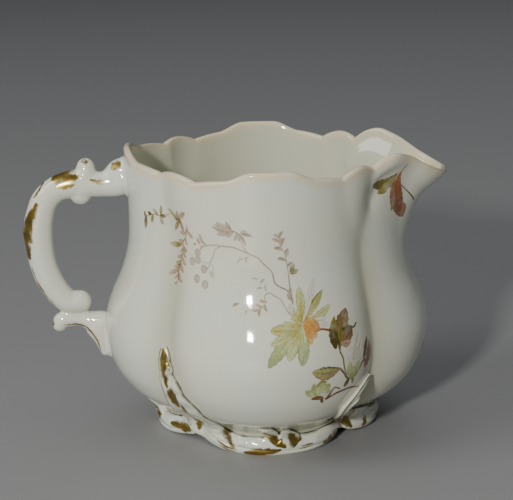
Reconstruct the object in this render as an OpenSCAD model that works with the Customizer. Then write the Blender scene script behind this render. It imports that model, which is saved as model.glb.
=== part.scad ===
// Porcelain cream jug: four-lobed baluster body with a frilled rim and a beak
// spout, a scrolled twig handle, and a foot wrapped in four moulded branches.
// Origin: on the body's axis, on the plane the foot rests on.
// +X points along the spout, -X to the handle, +Z up.

/* [Body] */
// Radius of the four belly lobes
belly_r = 53; // [50:0.5:56]
// Height of the widest part of the belly
belly_z = 34; // [32:1:36]
// Radius of the neck lobes
neck_r = 44.2; // [43:0.2:46]
// Radius where the body meets the foot
base_r = 34.8; // [33.6:0.1:36]
// How far the valleys cut in, as a share of the lobe radius
valley_depth = 0.157; // [0.12:0.005:0.18]
// Thickness of the porcelain wall
wall = 2.4; // [1.8:0.1:3]
// Thickness of the jug's floor
floor_t = 3; // [2.5:0.1:3.6]

/* [Rim] */
// Height of the notches between the front lobe and its small frills
notch_z = 88.2; // [87:0.1:89]
// Rise of the middle of the front and back lobes above the notches
front_rise = 4.1; // [3:0.1:5]
// Rise of the small frills beside the notches
frill_rise = 1.8; // [1:0.1:2.4]
// Height of the rim where the handle meets the body
handle_rim_z = 93.6; // [91.5:0.1:95]

/* [Spout] */
// Height of the rim at the tip of the spout
tip_z = 84; // [83:0.1:86]
// How far the tip leans out past the neck
tip_reach = 15.4; // [12:0.2:16]
// Height of the rounded ears on both sides of the spout
ear_z = 92.8; // [91:0.1:94]
// Swell of the ears
ear_swell = 2; // [1:0.1:2.6]

/* [Foot] */
// Height of the foot ring
foot_h = 5.6; // [5.2:0.1:5.8]
// Width of the foot ring
foot_w = 4.2; // [3.4:0.1:5]
// Height of the arches between the four feet
arch_h = 2.4; // [1.4:0.1:2.8]
// Thickness of the moulded branches
branch_t = 2.2; // [1.6:0.1:2.6]

/* [Handle] */
// Thickness of the handle across its width, as a share of its height
handle_flat = 0.95; // [0.85:0.01:1.1]
// Height of the upper joint of the handle
arm_z = 81; // [80:0.5:82]

/* [Hidden] */

porcelain = [0.90, 0.90, 0.86];
bisque = [0.86, 0.83, 0.77];
slip_white = [0.93, 0.92, 0.88];

gap = 0.04;          // clearance between neighbouring solids
bed = 0.18;          // clearance under branches and slip, where the flat facets stray most
notch_a = 32.3;      // notch beside the front lobe, degrees off the Y axis
notch_b = 38.2;      // notch beside the spout, degrees off the X axis
notch_h = 36.5;      // notch beside the handle, degrees off the X axis
notch_b_z = 89.1;    // height of the notches beside spout and handle
ground = 0.5;        // depth ground off under each foot, so that it stands flat

// The small frills have one flute each, [middle, half width] in degrees off the spout
spout_flute = [(notch_b + 90 - notch_a) / 2, (90 - notch_a - notch_b) / 2];
handle_flute = [(270 + notch_a - notch_h) / 2, (90 - notch_a - notch_h) / 2];
flute_sink = 1.65;   // how far a flute stays behind the lobes at the rim
flute_fade = 4.5;    // how far it falls back down the neck
valley_fade = 5;     // how much further it falls back above the belly

// ---------------------------------------------------------------- curves

function clamp(x, lo, hi) = min(max(x, lo), hi);
function mix(a, b, u) = a + (b - a) * u;

// 0 below a, 1 above b, and smooth between
function ease(a, b, x) = let (u = clamp((x - a) / (b - a), 0, 1)) u * u * (3 - 2 * u);

// the larger of two radii with the crease between them rounded over e
function blend(a, b, e) = (a + b + sqrt((a - b) * (a - b) + e * e)) / 2;

// slope of the smooth curve through points p at point i
function slope(p, i) =
    let (a = max(i - 1, 0), b = min(i + 1, len(p) - 1))
    (p[b][1] - p[a][1]) / (p[b][0] - p[a][0]);

// smooth curve through the points p, each [x, y], read at x
function curve(p, x, i = 0) =
    i < len(p) - 2 && x > p[i + 1][0] ? curve(p, x, i + 1) :
    let (w = p[i + 1][0] - p[i][0],
         u = clamp((x - p[i][0]) / w, 0, 1),
         a = u * u * (3 - 2 * u))
    p[i][1] * (1 - a) + p[i + 1][1] * a
        + w * (slope(p, i) * u * (1 - u) * (1 - u) - slope(p, i + 1) * u * u * (1 - u));

// ------------------------------------------------------- shape of the body

// side profile of a lobe, [height, radius]
profile = [[foot_h, base_r],
           [foot_h + 1.3, base_r + 0.5],
           [foot_h + 2.6, mix(base_r, belly_r, 0.11)],
           [mix(foot_h, belly_z, 0.16), mix(base_r, belly_r, 0.26)],
           [mix(foot_h, belly_z, 0.24), mix(base_r, belly_r, 0.455)],
           [mix(foot_h, belly_z, 0.34), mix(base_r, belly_r, 0.62)],
           [mix(foot_h, belly_z, 0.54), mix(base_r, belly_r, 0.835)],
           [mix(foot_h, belly_z, 0.78), mix(base_r, belly_r, 0.965)],
           [belly_z, belly_r],
           [belly_z + 6, mix(neck_r, belly_r, 0.9)],
           [belly_z + 12, mix(neck_r, belly_r, 0.66)],
           [belly_z + 18, mix(neck_r, belly_r, 0.35)],
           [belly_z + 24, mix(neck_r, belly_r, 0.13)],
           [belly_z + 31, neck_r],
           [belly_z + 46, neck_r],
           [belly_z + 62, neck_r + 1]];

// lean of the spout by angle off the X axis, as a share of its reach
spout_lean = [[0, 1], [6, 0.94], [11, 0.81], [15.5, 0.62], [19, 0.45], [24, 0.28],
              [30, 0.13], [notch_b, 0], [60, 0]];

// rim heights beside the spout by angle off the X axis
spout_rim = [[0, tip_z], [8, tip_z + 0.7], [14, mix(tip_z, ear_z, 0.32)],
             [20, mix(tip_z, ear_z, 0.75)], [26, mix(tip_z, ear_z, 0.95)], [30, ear_z],
             [34, mix(ear_z, notch_b_z, 0.27)], [notch_b, notch_b_z]];

// angle off the spout, 0 to 180, the same on both sides
function turn(a) = let (t = abs(a) % 360) t > 180 ? 360 - t : t;

function frill(u, z0, z1, rise) = mix(z0, z1, u) + rise * pow(sin(180 * clamp(u, 0, 1)), 0.8);

function front_rim(f) =
    notch_z + 0.32 * front_rise * sin(90 * clamp((notch_a - f) / 18, 0, 1))
            + 0.68 * front_rise * (1 - ease(7, 19, f));

function handle_rim(h) =
    let (rise = handle_rim_z - notch_b_z)
    notch_b_z + 0.3 * rise * sin(90 * clamp((notch_h - h) / 16, 0, 1))
              + 0.7 * rise * (1 - ease(2, 22, h));

// height of the rim at angle a
function rim_z(a) =
    let (t = turn(a))
    t < notch_b ? curve(spout_rim, t) :
    t < 90 - notch_a ? frill((t - notch_b) / (90 - notch_a - notch_b), notch_b_z, notch_z,
                             frill_rise * 1.15) :
    t < 90 + notch_a ? front_rim(abs(t - 90)) :
    t < 180 - notch_h ? frill((t - 90 - notch_a) / (90 - notch_a - notch_h), notch_z, notch_b_z,
                              frill_rise * 0.85) :
    handle_rim(180 - t);

// one flute of the frill: it stands out of the valley at the rim and fades down the neck
function flute(u, tilt, r, z) =
    min(r, neck_r) - flute_sink + tilt * u - u * u
        - flute_fade * (1 - ease(50, 90, z)) - valley_fade * (1 - ease(40, 58, z));

// radius of the body's outer face at angle a and height z
function outer_r(a, z) =
    let (t = turn(a),
         r = curve(profile, z),
         cut = valley_depth * r * (1 - 0.3 * ease(38, 58, z)),
         front = r - cut * pow((t - 90) / 45, 2),
         side = r - cut * pow(min(t, 180 - t) / 45, 2),
         flute_s = flute((t - spout_flute[0]) / spout_flute[1], 0.35, r, z),
         flute_h = flute((t - handle_flute[0]) / handle_flute[1], -1.1, r, z),
         down = max(rim_z(a) - z, 0),
         fade = 0.5 * exp(-pow(down / 6, 2)) + 0.5 * exp(-pow(down / 18, 2)),
         ear = ear_swell * exp(-pow((t - 30.5) / 5.5, 2)) * exp(-pow(down / 6.5, 2)))
    blend(blend(front, side, 0.9), blend(flute_s, flute_h, 0.5), 0.9)
        + tip_reach * curve(spout_lean, min(t, 60)) * fade + ear;

// outer face of the body above the foot, and of the foot ring below it
function skin_r(a, z) = z < foot_h ? outer_r(a, foot_h) - 0.2 : outer_r(a, z);

function at(a, r, z) = [r * cos(a), r * sin(a), z];

// angles round the jug, with one at every notch of the rim
quarter = [for (i = [0:9]) notch_b * i / 10, for (i = [0:5]) mix(notch_b, 90 - notch_a, i / 6),
           for (i = [0:7]) mix(90 - notch_a, 90, i / 8)];
half = concat(quarter, [for (i = [0:7]) mix(90, 90 + notch_a, i / 8)],
              [for (i = [0:5]) mix(90 + notch_a, 180 - notch_h, i / 6)],
              [for (i = [0:7]) mix(180 - notch_h, 180, i / 8)]);
round_trip = concat(half, [180], [for (i = [len(half) - 1:-1:1]) -half[i]]);

// ------------------------------------------------------- surface builders

// closed solid from rings of equal length, each end closed by a fan to its centre
module lofted(rings, bottom, top) {
    n = len(rings[0]);
    m = len(rings);
    points = concat([for (ring = rings) each ring], [bottom, top]);
    sides = [for (j = [0:m - 2], i = [0:n - 1])
             let (k = (i + 1) % n, a = j * n, b = a + n)
             each [[a + i, b + i, b + k], [a + i, b + k, a + k]]];
    caps = [for (i = [0:n - 1])
            let (k = (i + 1) % n)
            each [[m * n, i, k], [m * n + 1, (m - 1) * n + k, (m - 1) * n + i]]];
    polyhedron(points, concat(sides, caps), convexity = 8);
}

// closed solid from sections of equal length along a run, each end closed flat
module strip(sections) {
    n = len(sections[0]);
    m = len(sections);
    sides = [for (j = [0:m - 2], i = [0:n - 1])
             let (k = (i + 1) % n, a = j * n, b = a + n)
             each [[a + i, a + k, b + k], [a + i, b + k, b + i]]];
    ends = [for (i = [1:n - 2])
            each [[0, i + 1, i], [(m - 1) * n, (m - 1) * n + i, (m - 1) * n + i + 1]]];
    polyhedron([for (s = sections) each s], concat(sides, ends), convexity = 8);
}

// ------------------------------------------------------------------ body

outer_rows = 25;
inner_rows = 13;
floor_z = foot_h + floor_t;

// lower rows crowd where the belly turns in to the foot
function row_z(a, u, z0) = mix(z0, rim_z(a) - 1.2, pow(u, 1.25));

module body() {
    outside = [for (j = [0:outer_rows])
               [for (a = round_trip) let (z = row_z(a, j / outer_rows, foot_h))
                at(a, outer_r(a, z), z)]];
    lip = [for (s = [[-0.3, -0.45], [-0.9, -0.05], [-1.5, -0.05], [-2.1, -0.45]])
           [for (a = round_trip) at(a, outer_r(a, rim_z(a)) + s[0] * wall / 2.4, rim_z(a) + s[1])]];
    inside = [for (j = [inner_rows:-1:1])
              [for (a = round_trip) let (z = row_z(a, j / inner_rows, floor_z))
               at(a, outer_r(a, z) - wall, z)]];
    hearth = [for (s = [1, 0.6])
              [for (a = round_trip) at(a, s * (outer_r(a, floor_z) - wall - 2), floor_z)]];
    color(porcelain)
    lofted(concat(outside, lip, inside, hearth), [0, 0, foot_h], [0, 0, floor_z]);
}

// ------------------------------------------------------------- foot ring

// height of the foot's lower edge: level under each lobe, arched between
function arch_z(a) =
    let (off = abs((turn(a) + 45) % 90 - 45))
    mix(-ground, arch_h, ease(18, 47, off));

module foot_ring() {
    top = foot_h - gap;
    rings = [for (a = round_trip)
             let (r = skin_r(a, 0), z = arch_z(a))
             [at(a, r - foot_w, top), at(a, r - foot_w, z + 1), at(a, r - foot_w + 1, z),
              at(a, r - 1, z), at(a, r, z + 1), at(a, r, top)]];
    n = len(rings[0]);
    m = len(rings);
    faces = [for (j = [0:m - 1], i = [0:n - 1])
             let (k = (i + 1) % n, a = j * n, b = ((j + 1) % m) * n)
             each [[a + i, b + k, b + i], [a + i, a + k, b + k]]];
    color(bisque)
    difference() {
        polyhedron([for (ring = rings) each ring], faces, convexity = 8);
        translate([0, 0, -foot_h])
        cylinder(r = 2 * base_r, h = foot_h, $fn = 8);
    }
}

// --------------------------------------------------------- foot branches

// Each branch is bounded by an upper and a lower edge, each point [run, angle
// off the lobe's middle] or [run, height]. It starts at a tip in the valley,
// sweeps down on to the foot and ends under the tip of the next branch.
tall_upper_a = [[0, -45.8], [1, -44.4], [2, -43.3], [3, -42.4], [4, -40.2], [5, -36.6],
                [6, -31.8], [7, -27.2], [8, -21.6], [9, -14], [10, -6.5], [11, 1], [12, 10],
                [13, 20], [14, 32], [15, 44.5]];
tall_upper_z = [[0, 35.5], [1, 33.1], [2, 30], [3, 26.8], [4, 23.4], [5, 19.3], [6, 14.8],
                [7, 10.2], [8, 6.6], [9, 5.6], [10, 5.6], [11, 9.2], [12, 8.2], [13, 5.7],
                [14, 5.9], [15, 5.3]];
tall_lower_a = [[0, -47.6], [1, -48.5], [2, -48.7], [3, -49.2], [4, -50], [5, -51.6],
                [6, -54.2], [7, -54.4], [8, -49], [9, -33], [10, -18], [11, -4], [12, 8],
                [13, 21], [14, 34], [15, 42]];
tall_lower_z = [[0, 35.4], [1, 32.5], [2, 28.6], [3, 24], [4, 19.4], [5, 14], [6, 9.4],
                [7, 4.9], [8, 2.1], [9, 0.6], [10, 0], [11, 0], [12, 0], [13, 0.2],
                [14, 0.8], [15, 1.9]];

// The low branch leans out over the valley and turns back on to its own lobe
low_upper_a = [[0, -45.2], [1, -47.6], [2, -51], [3, -53.4], [4, -52.4], [5, -47.4],
               [6, -41], [7, -34], [8, -27], [9, -19], [10, -9], [11, 1], [12, 10],
               [13, 20], [14, 31.5]];
low_upper_z = [[0, 24.2], [1, 22.2], [2, 19.4], [3, 16.4], [4, 13.2], [5, 10.6], [6, 9.9],
               [7, 9.6], [8, 8], [9, 6.2], [10, 5.6], [11, 7.4], [12, 6.9], [13, 5.9],
               [14, 7]];
low_lower_a = [[0, -47], [1, -51], [2, -55.6], [3, -59.4], [4, -60.4], [5, -57], [6, -50.5],
               [7, -44.2], [8, -39.6], [9, -29], [10, -16], [11, -3], [12, 9], [13, 21],
               [14, 38]];
low_lower_z = [[0, 24.9], [1, 23.6], [2, 21.4], [3, 18.2], [4, 14.2], [5, 10], [6, 6.9],
               [7, 5.6], [8, 2.2], [9, 0.8], [10, 0.1], [11, 0], [12, 0], [13, 0.3],
               [14, 1.7]];

// thickness of a branch: thin at its tip, full on the foot
function branch_h(s, runs) =
    mix(0.9, branch_t, ease(0, 3, s)) * mix(1, 0.75, ease(runs - 1, runs, s));

// section of a branch at run s: u goes from its lower to its upper edge
function branch_section(lobe, s, ua, uz, la, lz) =
    let (n = 6,
         h = branch_h(s, len(ua) - 1),
         a0 = curve(la, s), z0 = max(curve(lz, s), 0),
         a1 = curve(ua, s), z1 = curve(uz, s),
         top = [for (i = [0:n]) let (u = i / n, a = lobe + mix(a0, a1, u), z = mix(z0, z1, u))
                at(a, skin_r(a, z) + bed + h * (0.35 + 0.65 * pow(sin(mix(8, 172, u)), 0.6)), z)],
         under = [for (i = [n:-1:0])
                  let (u = i / n, a = lobe + mix(a0, a1, u), z = mix(z0, z1, u))
                  at(a, skin_r(a, z) + bed, z)])
    concat(top, under);

module branch(lobe, ua, uz, la, lz) {
    runs = len(ua) - 1;
    color(porcelain)
    strip([for (s = [0:0.25:runs]) branch_section(lobe, s, ua, uz, la, lz)]);
}

module tall_branch(lobe) branch(lobe, tall_upper_a, tall_upper_z, tall_lower_a, tall_lower_z);

module low_branch(lobe) branch(lobe, low_upper_a, low_upper_z, low_lower_a, low_lower_z);

module foot_branch_front() tall_branch(-90);

module foot_branch_back() tall_branch(90);

module foot_branch_handle() low_branch(180);

module foot_branch_spout() low_branch(0);

// ---------------------------------------------------------------- handle

top_face = 45.4;     // distance of the upper joint from the axis
base_face = 54;      // distance of the lower joint from the axis

// beads along the handle, [distance from the axis, height, radius]
arm = [[52, arm_z, 4.4], [57, arm_z, 4.4], [62, arm_z, 4.6], [67.4, arm_z - 1.7, 4.2],
       [71.2, arm_z - 5.6, 4.4], [72.8, arm_z - 10.8, 4.6], [73.6, arm_z - 16, 4.7],
       [73.3, arm_z - 21, 4.6], [72.5, arm_z - 26, 4.5], [70.8, arm_z - 31.2, 4.5],
       [68, arm_z - 36, 4.3], [64.4, arm_z - 39.2, 4], [61.6, arm_z - 39.8, 3.7]];
knuckle = [[58, arm_z + 5.2, 3.3], [58.8, arm_z, 4.2], [59.2, arm_z - 3.4, 3.3]];
thorn = [[73.8, arm_z - 15, 3.6], [77.6, arm_z - 15.8, 1]];
bracket = [[67.7, arm_z - 46.3, 2.8], [65, arm_z - 44.6, 3], [61, arm_z - 44.6, 3.2],
           [57.4, arm_z - 45.4, 3.4]];

module bead(p) {
    translate([-p[0], 0, p[1]])
    scale([1, handle_flat, 1])
    sphere(r = p[2], $fn = 20);
}

module limb(beads) {
    for (i = [0:len(beads) - 2])
        hull() {
            bead(beads[i]);
            bead(beads[i + 1]);
        }
}

// flat oval end of the handle, standing on its joint
module joint_face(x, z0, z1, r) {
    for (z = [z0, z1])
        translate([-x - 0.6, 0, z])
        rotate([0, 90, 0])
        cylinder(r = r, h = 0.6, $fn = 32);
}

module handle() {
    color(porcelain)
    union() {
        limb(arm);
        limb(knuckle);
        limb(thorn);
        limb(bracket);
        hull() {
            joint_face(top_face, arm_z, arm_z + 3.6, 4.4);
            bead([51, arm_z, 4.4]);
        }
        hull() {
            joint_face(base_face, arm_z - 47, arm_z - 56, 3.2);
            bead(bracket[3]);
        }
    }
}

// ------------------------------------------------------- luting slip joints

// pad of slip between the body and an oval joint face at distance x
module slip_pad(x, z0, z1, r) {
    n = 32;
    zm = (z0 + z1) / 2;
    rows = [for (s = [1, 0.5])
            [for (i = [0:n - 1])
             let (q = 360 * (i + 0.5) / n)
             [s * r * sin(q), mix(zm, cos(q) > 0 ? z1 : z0, s) + s * r * cos(q)]]];
    function on_body(y, z) =
        let (a = asin(y / outer_r(180, z)), r1 = outer_r(180 - asin(y / outer_r(180 - a, z)), z) + bed)
        [-sqrt(r1 * r1 - y * y), y, z];
    function on_face(y, z) = [-x + gap, y, z];
    color(slip_white)
    lofted([[for (p = rows[1]) on_body(p[0], p[1])], [for (p = rows[0]) on_body(p[0], p[1])],
            [for (p = rows[0]) on_face(p[0], p[1])], [for (p = rows[1]) on_face(p[0], p[1])]],
           on_body(0, zm), on_face(0, zm));
}

module handle_top_slip() slip_pad(top_face, arm_z, arm_z + 3.6, 4.4);

module handle_base_slip() slip_pad(base_face, arm_z - 56, arm_z - 47, 3.2);

body();
foot_ring();
foot_branch_front();
foot_branch_back();
foot_branch_handle();
foot_branch_spout();
handle();
handle_top_slip();
handle_base_slip();
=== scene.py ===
"""Porcelain cream jug: smooth glazed shells, moulded foot, gilding and a printed flower spray."""
import math
import bpy
import numpy as np
from mathutils import Matrix, Vector


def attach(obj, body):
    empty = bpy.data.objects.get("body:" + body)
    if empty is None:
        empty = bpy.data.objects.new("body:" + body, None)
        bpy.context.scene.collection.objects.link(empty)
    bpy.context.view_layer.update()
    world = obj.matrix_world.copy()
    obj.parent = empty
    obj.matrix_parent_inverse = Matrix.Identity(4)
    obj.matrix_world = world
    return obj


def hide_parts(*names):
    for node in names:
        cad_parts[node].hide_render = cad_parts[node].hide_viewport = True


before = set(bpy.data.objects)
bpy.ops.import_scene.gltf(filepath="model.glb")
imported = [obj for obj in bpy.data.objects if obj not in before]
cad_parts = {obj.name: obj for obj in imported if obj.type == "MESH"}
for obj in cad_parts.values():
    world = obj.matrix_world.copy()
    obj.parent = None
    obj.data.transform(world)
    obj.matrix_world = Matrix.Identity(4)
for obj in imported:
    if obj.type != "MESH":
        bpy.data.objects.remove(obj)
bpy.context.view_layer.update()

# ---- dimensions
# Millimetres and degrees. Down to NOTCH_H they are the driving dimensions of the CAD source.
MM = 0.001
BELLY_R, BELLY_Z = 53.0, 34.0
NECK_R = 44.2
BASE_R = 34.8
VALLEY_DEPTH = 0.157
WALL, FLOOR_T = 2.4, 3.0
NOTCH_Z, NOTCH_SIDE_Z = 88.2, 89.1
FRONT_RISE, FRILL_RISE = 4.1, 1.8
HANDLE_RIM_Z = 93.6
TIP_Z, TIP_REACH = 84.0, 15.4
EAR_Z, EAR_SWELL = 92.8, 2.0
FOOT_H, FOOT_W, ARCH_H = 5.6, 4.2, 2.4
GROUND = 0.5          # depth ground off under each foot
BRANCH_T = 2.2
BED = 0.18            # slip between the branches and the skin under them
ARM_Z = 81.0
HANDLE_FLAT = 0.95
NOTCH_A = 32.3        # beside the front lobe, off the Y axis
NOTCH_B = 38.2        # beside the spout, off the X axis
NOTCH_H = 36.5        # beside the handle, off the X axis
LIP = 1.2             # height of the rounded lip
COVE = 4.0            # height of the rounding between the inner wall and the floor
UNDER_RISE = 0.35     # how far the middle of the underside is drawn up
FOOT_ROUND = 0.8      # rounding of the foot ring's lower edges
PRINT_R = 46.0        # radius at which the printed sheet is laid out flat
SWEEP_R = 38.0        # radius at which the brush strokes on the foot are laid out flat
LINE_W = 0.34         # width of a pencilled line

FRONT, BACK, SPOUT, HANDLE_SIDE = -90.0, 90.0, 0.0, 180.0


# ---- curves
def mix(a, b, u):
    return a + (b - a) * u


def ease(a, b, x):
    """0 before a, 1 after b, smooth between."""
    u = np.clip((x - a) / (b - a), 0, 1)
    return u * u * (3 - 2 * u)


def blend(a, b, e):
    """The larger of two radii, with the crease between them rounded."""
    return (a + b + np.sqrt((a - b) ** 2 + e * e)) / 2


def curve(points, x):
    """Smooth curve through [x, y] points, the same one as in the CAD source."""
    p = np.asarray(points, float)
    px, py = p[:, 0], p[:, 1]
    slope = np.gradient(py)
    slope[1:-1] = (py[2:] - py[:-2]) / (px[2:] - px[:-2])
    slope[0] = (py[1] - py[0]) / (px[1] - px[0])
    slope[-1] = (py[-1] - py[-2]) / (px[-1] - px[-2])
    i = np.clip(np.searchsorted(px, x, side="left") - 1, 0, len(px) - 2)
    w = px[i + 1] - px[i]
    u = np.clip((x - px[i]) / w, 0, 1)
    a = u * u * (3 - 2 * u)
    bulge = slope[i] * u * (1 - u) ** 2 - slope[i + 1] * u * u * (1 - u)
    return py[i] * (1 - a) + py[i + 1] * a + w * bulge


def track(points, s):
    """Smooth run through a list of places, at s places from the first: one row per coordinate."""
    p = np.asarray(points, float)
    t = np.arange(len(p))
    return [curve(np.column_stack([t, p[:, k]]), s) for k in range(p.shape[1])]


def between(points, steps):
    """Positions along a list of places, steps to each gap."""
    return np.linspace(0, len(points) - 1, (len(points) - 1) * steps + 1)


def bell(x, centre, width):
    return np.exp(-((x - centre) / width) ** 2)


# ---- shape of the body
PROFILE = [
    [FOOT_H, BASE_R],
    [FOOT_H + 1.3, BASE_R + 0.5],
    [FOOT_H + 2.6, mix(BASE_R, BELLY_R, 0.11)],
    [mix(FOOT_H, BELLY_Z, 0.16), mix(BASE_R, BELLY_R, 0.26)],
    [mix(FOOT_H, BELLY_Z, 0.24), mix(BASE_R, BELLY_R, 0.455)],
    [mix(FOOT_H, BELLY_Z, 0.34), mix(BASE_R, BELLY_R, 0.62)],
    [mix(FOOT_H, BELLY_Z, 0.54), mix(BASE_R, BELLY_R, 0.835)],
    [mix(FOOT_H, BELLY_Z, 0.78), mix(BASE_R, BELLY_R, 0.965)],
    [BELLY_Z, BELLY_R],
    [BELLY_Z + 6, mix(NECK_R, BELLY_R, 0.9)],
    [BELLY_Z + 12, mix(NECK_R, BELLY_R, 0.66)],
    [BELLY_Z + 18, mix(NECK_R, BELLY_R, 0.35)],
    [BELLY_Z + 24, mix(NECK_R, BELLY_R, 0.13)],
    [BELLY_Z + 31, NECK_R],
    [BELLY_Z + 46, NECK_R],
    [BELLY_Z + 62, NECK_R + 1],
]
SPOUT_LEAN = [[0, 1], [6, 0.94], [11, 0.81], [15.5, 0.62], [19, 0.45], [24, 0.28],
              [30, 0.13], [NOTCH_B, 0], [60, 0]]
SPOUT_RIM = [[0, TIP_Z], [8, TIP_Z + 0.7], [14, mix(TIP_Z, EAR_Z, 0.32)],
             [20, mix(TIP_Z, EAR_Z, 0.75)], [26, mix(TIP_Z, EAR_Z, 0.95)], [30, EAR_Z],
             [34, mix(EAR_Z, NOTCH_SIDE_Z, 0.27)], [NOTCH_B, NOTCH_SIDE_Z]]


def turn(angle):
    """Angle off the spout, 0 to 180, the same on both sides."""
    t = np.abs(angle) % 360
    return np.where(t > 180, 360 - t, t)


def frill(u, z0, z1, rise):
    u = np.clip(u, 0, 1)
    return mix(z0, z1, u) + rise * np.sin(np.pi * u) ** 0.8


def front_rim(f):
    shoulder = np.sin(np.pi / 2 * np.clip((NOTCH_A - f) / 18, 0, 1))
    return NOTCH_Z + 0.32 * FRONT_RISE * shoulder + 0.68 * FRONT_RISE * (1 - ease(7, 19, f))


def handle_rim(h):
    rise = HANDLE_RIM_Z - NOTCH_SIDE_Z
    shoulder = np.sin(np.pi / 2 * np.clip((NOTCH_H - h) / 16, 0, 1))
    return NOTCH_SIDE_Z + 0.3 * rise * shoulder + 0.7 * rise * (1 - ease(2, 22, h))


def rim_z(angle):
    """Height of the rim at an angle round the jug."""
    t = turn(angle)
    spout_side = frill((t - NOTCH_B) / (90 - NOTCH_A - NOTCH_B),
                       NOTCH_SIDE_Z, NOTCH_Z, FRILL_RISE * 1.15)
    handle_side = frill((t - 90 - NOTCH_A) / (90 - NOTCH_A - NOTCH_H),
                        NOTCH_Z, NOTCH_SIDE_Z, FRILL_RISE * 0.85)
    return np.select(
        [t < NOTCH_B, t < 90 - NOTCH_A, t < 90 + NOTCH_A, t < 180 - NOTCH_H],
        [curve(SPOUT_RIM, t), spout_side, front_rim(np.abs(t - 90)), handle_side],
        handle_rim(180 - t))


def flute(u, tilt, r, z):
    """One flute of the frill: it stands out of the valley at the rim and fades down the neck."""
    fade = 4.5 * (1 - ease(50, 90, z)) + 5 * (1 - ease(40, 58, z))
    return np.minimum(r, NECK_R) - 1.65 + tilt * u - u * u - fade


def outer_r(angle, z):
    """Radius of the body's outer face."""
    t = turn(angle)
    r = curve(PROFILE, z)
    cut = VALLEY_DEPTH * r * (1 - 0.3 * ease(38, 58, z))
    front = r - cut * ((t - 90) / 45) ** 2
    side = r - cut * (np.minimum(t, 180 - t) / 45) ** 2
    flutes = blend(flute((t - 48) / 9.75, 0.35, r, z), flute((t - 132.9) / 10.6, -1.1, r, z), 0.5)
    down = np.maximum(rim_z(angle) - z, 0)
    fade = 0.5 * np.exp(-(down / 6) ** 2) + 0.5 * np.exp(-(down / 18) ** 2)
    ear = EAR_SWELL * bell(t, 30.5, 6.5) * (1 - ease(2.5, 7.5, down))
    crease = 0.8 * bell(t, 36, 8) * bell(down, 10, 4)
    lobes = blend(blend(front, side, 0.9), flutes, 0.9)
    return lobes + TIP_REACH * curve(SPOUT_LEAN, np.minimum(t, 60)) * fade + (ear - crease)


def hollow_shade(angle, z):
    """Painted shade: 1 in the valleys between the lobes and over the foot, where the glaze is darkened and
    yellowed.
    """
    t = turn(angle)
    off = np.minimum(np.abs(t - 45), np.abs(t - 135))
    valley = np.exp(-(off / 7.5) ** 2) * (0.35 + 0.65 * ease(78, 52, z))
    return np.maximum(valley, 0.9 * ease(FOOT_H + 10, FOOT_H + 2, z))


def skin_r(angle, z):
    """Outer face of the body, and of the foot ring below it."""
    return np.where(z < FOOT_H, outer_r(angle, np.full_like(z, FOOT_H)) - 0.2,
                    outer_r(angle, np.maximum(z, FOOT_H)))


def at(angle, r, z):
    a = np.radians(angle)
    return np.stack(np.broadcast_arrays(r * np.cos(a), r * np.sin(a), z), -1)


# ---- materials
def srgb(r, g, b):
    """A colour seen as 0-255 sRGB, as linear light."""
    def linear(c):
        c = c / 255
        return c / 12.92 if c <= 0.04045 else ((c + 0.055) / 1.055) ** 2.4
    return (linear(r), linear(g), linear(b))


def new_material(name):
    m = bpy.data.materials.new(name)
    m.use_nodes = True
    nodes = m.node_tree.nodes
    nodes.clear()
    shader = nodes.new("ShaderNodeBsdfPrincipled")
    out = nodes.new("ShaderNodeOutputMaterial")
    m.node_tree.links.new(shader.outputs[0], out.inputs["Surface"])
    return m, shader


def node(m, kind, settings=None, **inputs):
    """A node of the material with its settings and inputs; an input may be another node's output."""
    n = m.node_tree.nodes.new("ShaderNode" + kind)
    for key, value in (settings or {}).items():
        setattr(n, key, value)
    for key, value in inputs.items():
        socket = n.inputs[int(key[1:])] if key[0] == "i" and key[1:].isdigit() else n.inputs[key]
        if isinstance(value, bpy.types.NodeSocket):
            m.node_tree.links.new(value, socket)
        else:
            socket.default_value = value
    return n


def link(m, output, socket):
    m.node_tree.links.new(output, socket)


def noise(m, scale, detail=3.0, rough=0.5, stretch=None):
    """Noise in the object's own metres: scale is waves per metre."""
    where = node(m, "TexCoord").outputs["Object"]
    if stretch:
        where = node(m, "Mapping", i0=where, i3=stretch).outputs[0]
    return node(m, "TexNoise", Vector=where, Scale=scale, Detail=detail, Roughness=rough).outputs[0]


def ramp(m, factor, low, high):
    """0 below low, 1 above high."""
    return node(m, "MapRange", {"interpolation_type": "SMOOTHSTEP"}, i0=factor, i1=low, i2=high).outputs[0]


def mixed(m, factor, a, b):
    """Colour a to colour b by factor."""
    def rgba(c):
        return c if isinstance(c, bpy.types.NodeSocket) else (*c, 1.0)
    return node(m, "Mix", {"data_type": "RGBA"}, i0=factor, i6=rgba(a), i7=rgba(b)).outputs[2]


def maths(m, operation, a, b):
    return node(m, "Math", {"operation": operation}, i0=a, i1=b).outputs[0]


def level(m, factor, low, high):
    """Number low to number high by factor."""
    return node(m, "Mix", {"data_type": "FLOAT"}, i0=factor, i2=low, i3=high).outputs[0]


def spread_out(m, factor, a, b, low, high):
    """The range a to b of factor, carried over to low to high."""
    return node(m, "MapRange", i0=factor, i1=a, i2=b, i3=low, i4=high).outputs[0]


def bumped(m, shader, strength, height):
    """Relief too fine for the mesh."""
    bump = node(m, "Bump", Strength=strength, Distance=BUMP_DEPTH, Height=height)
    link(m, bump.outputs[0], shader.inputs["Normal"])


def attribute(m, name, output="Fac"):
    return node(m, "Attribute", {"attribute_name": name}).outputs[output]


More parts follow.
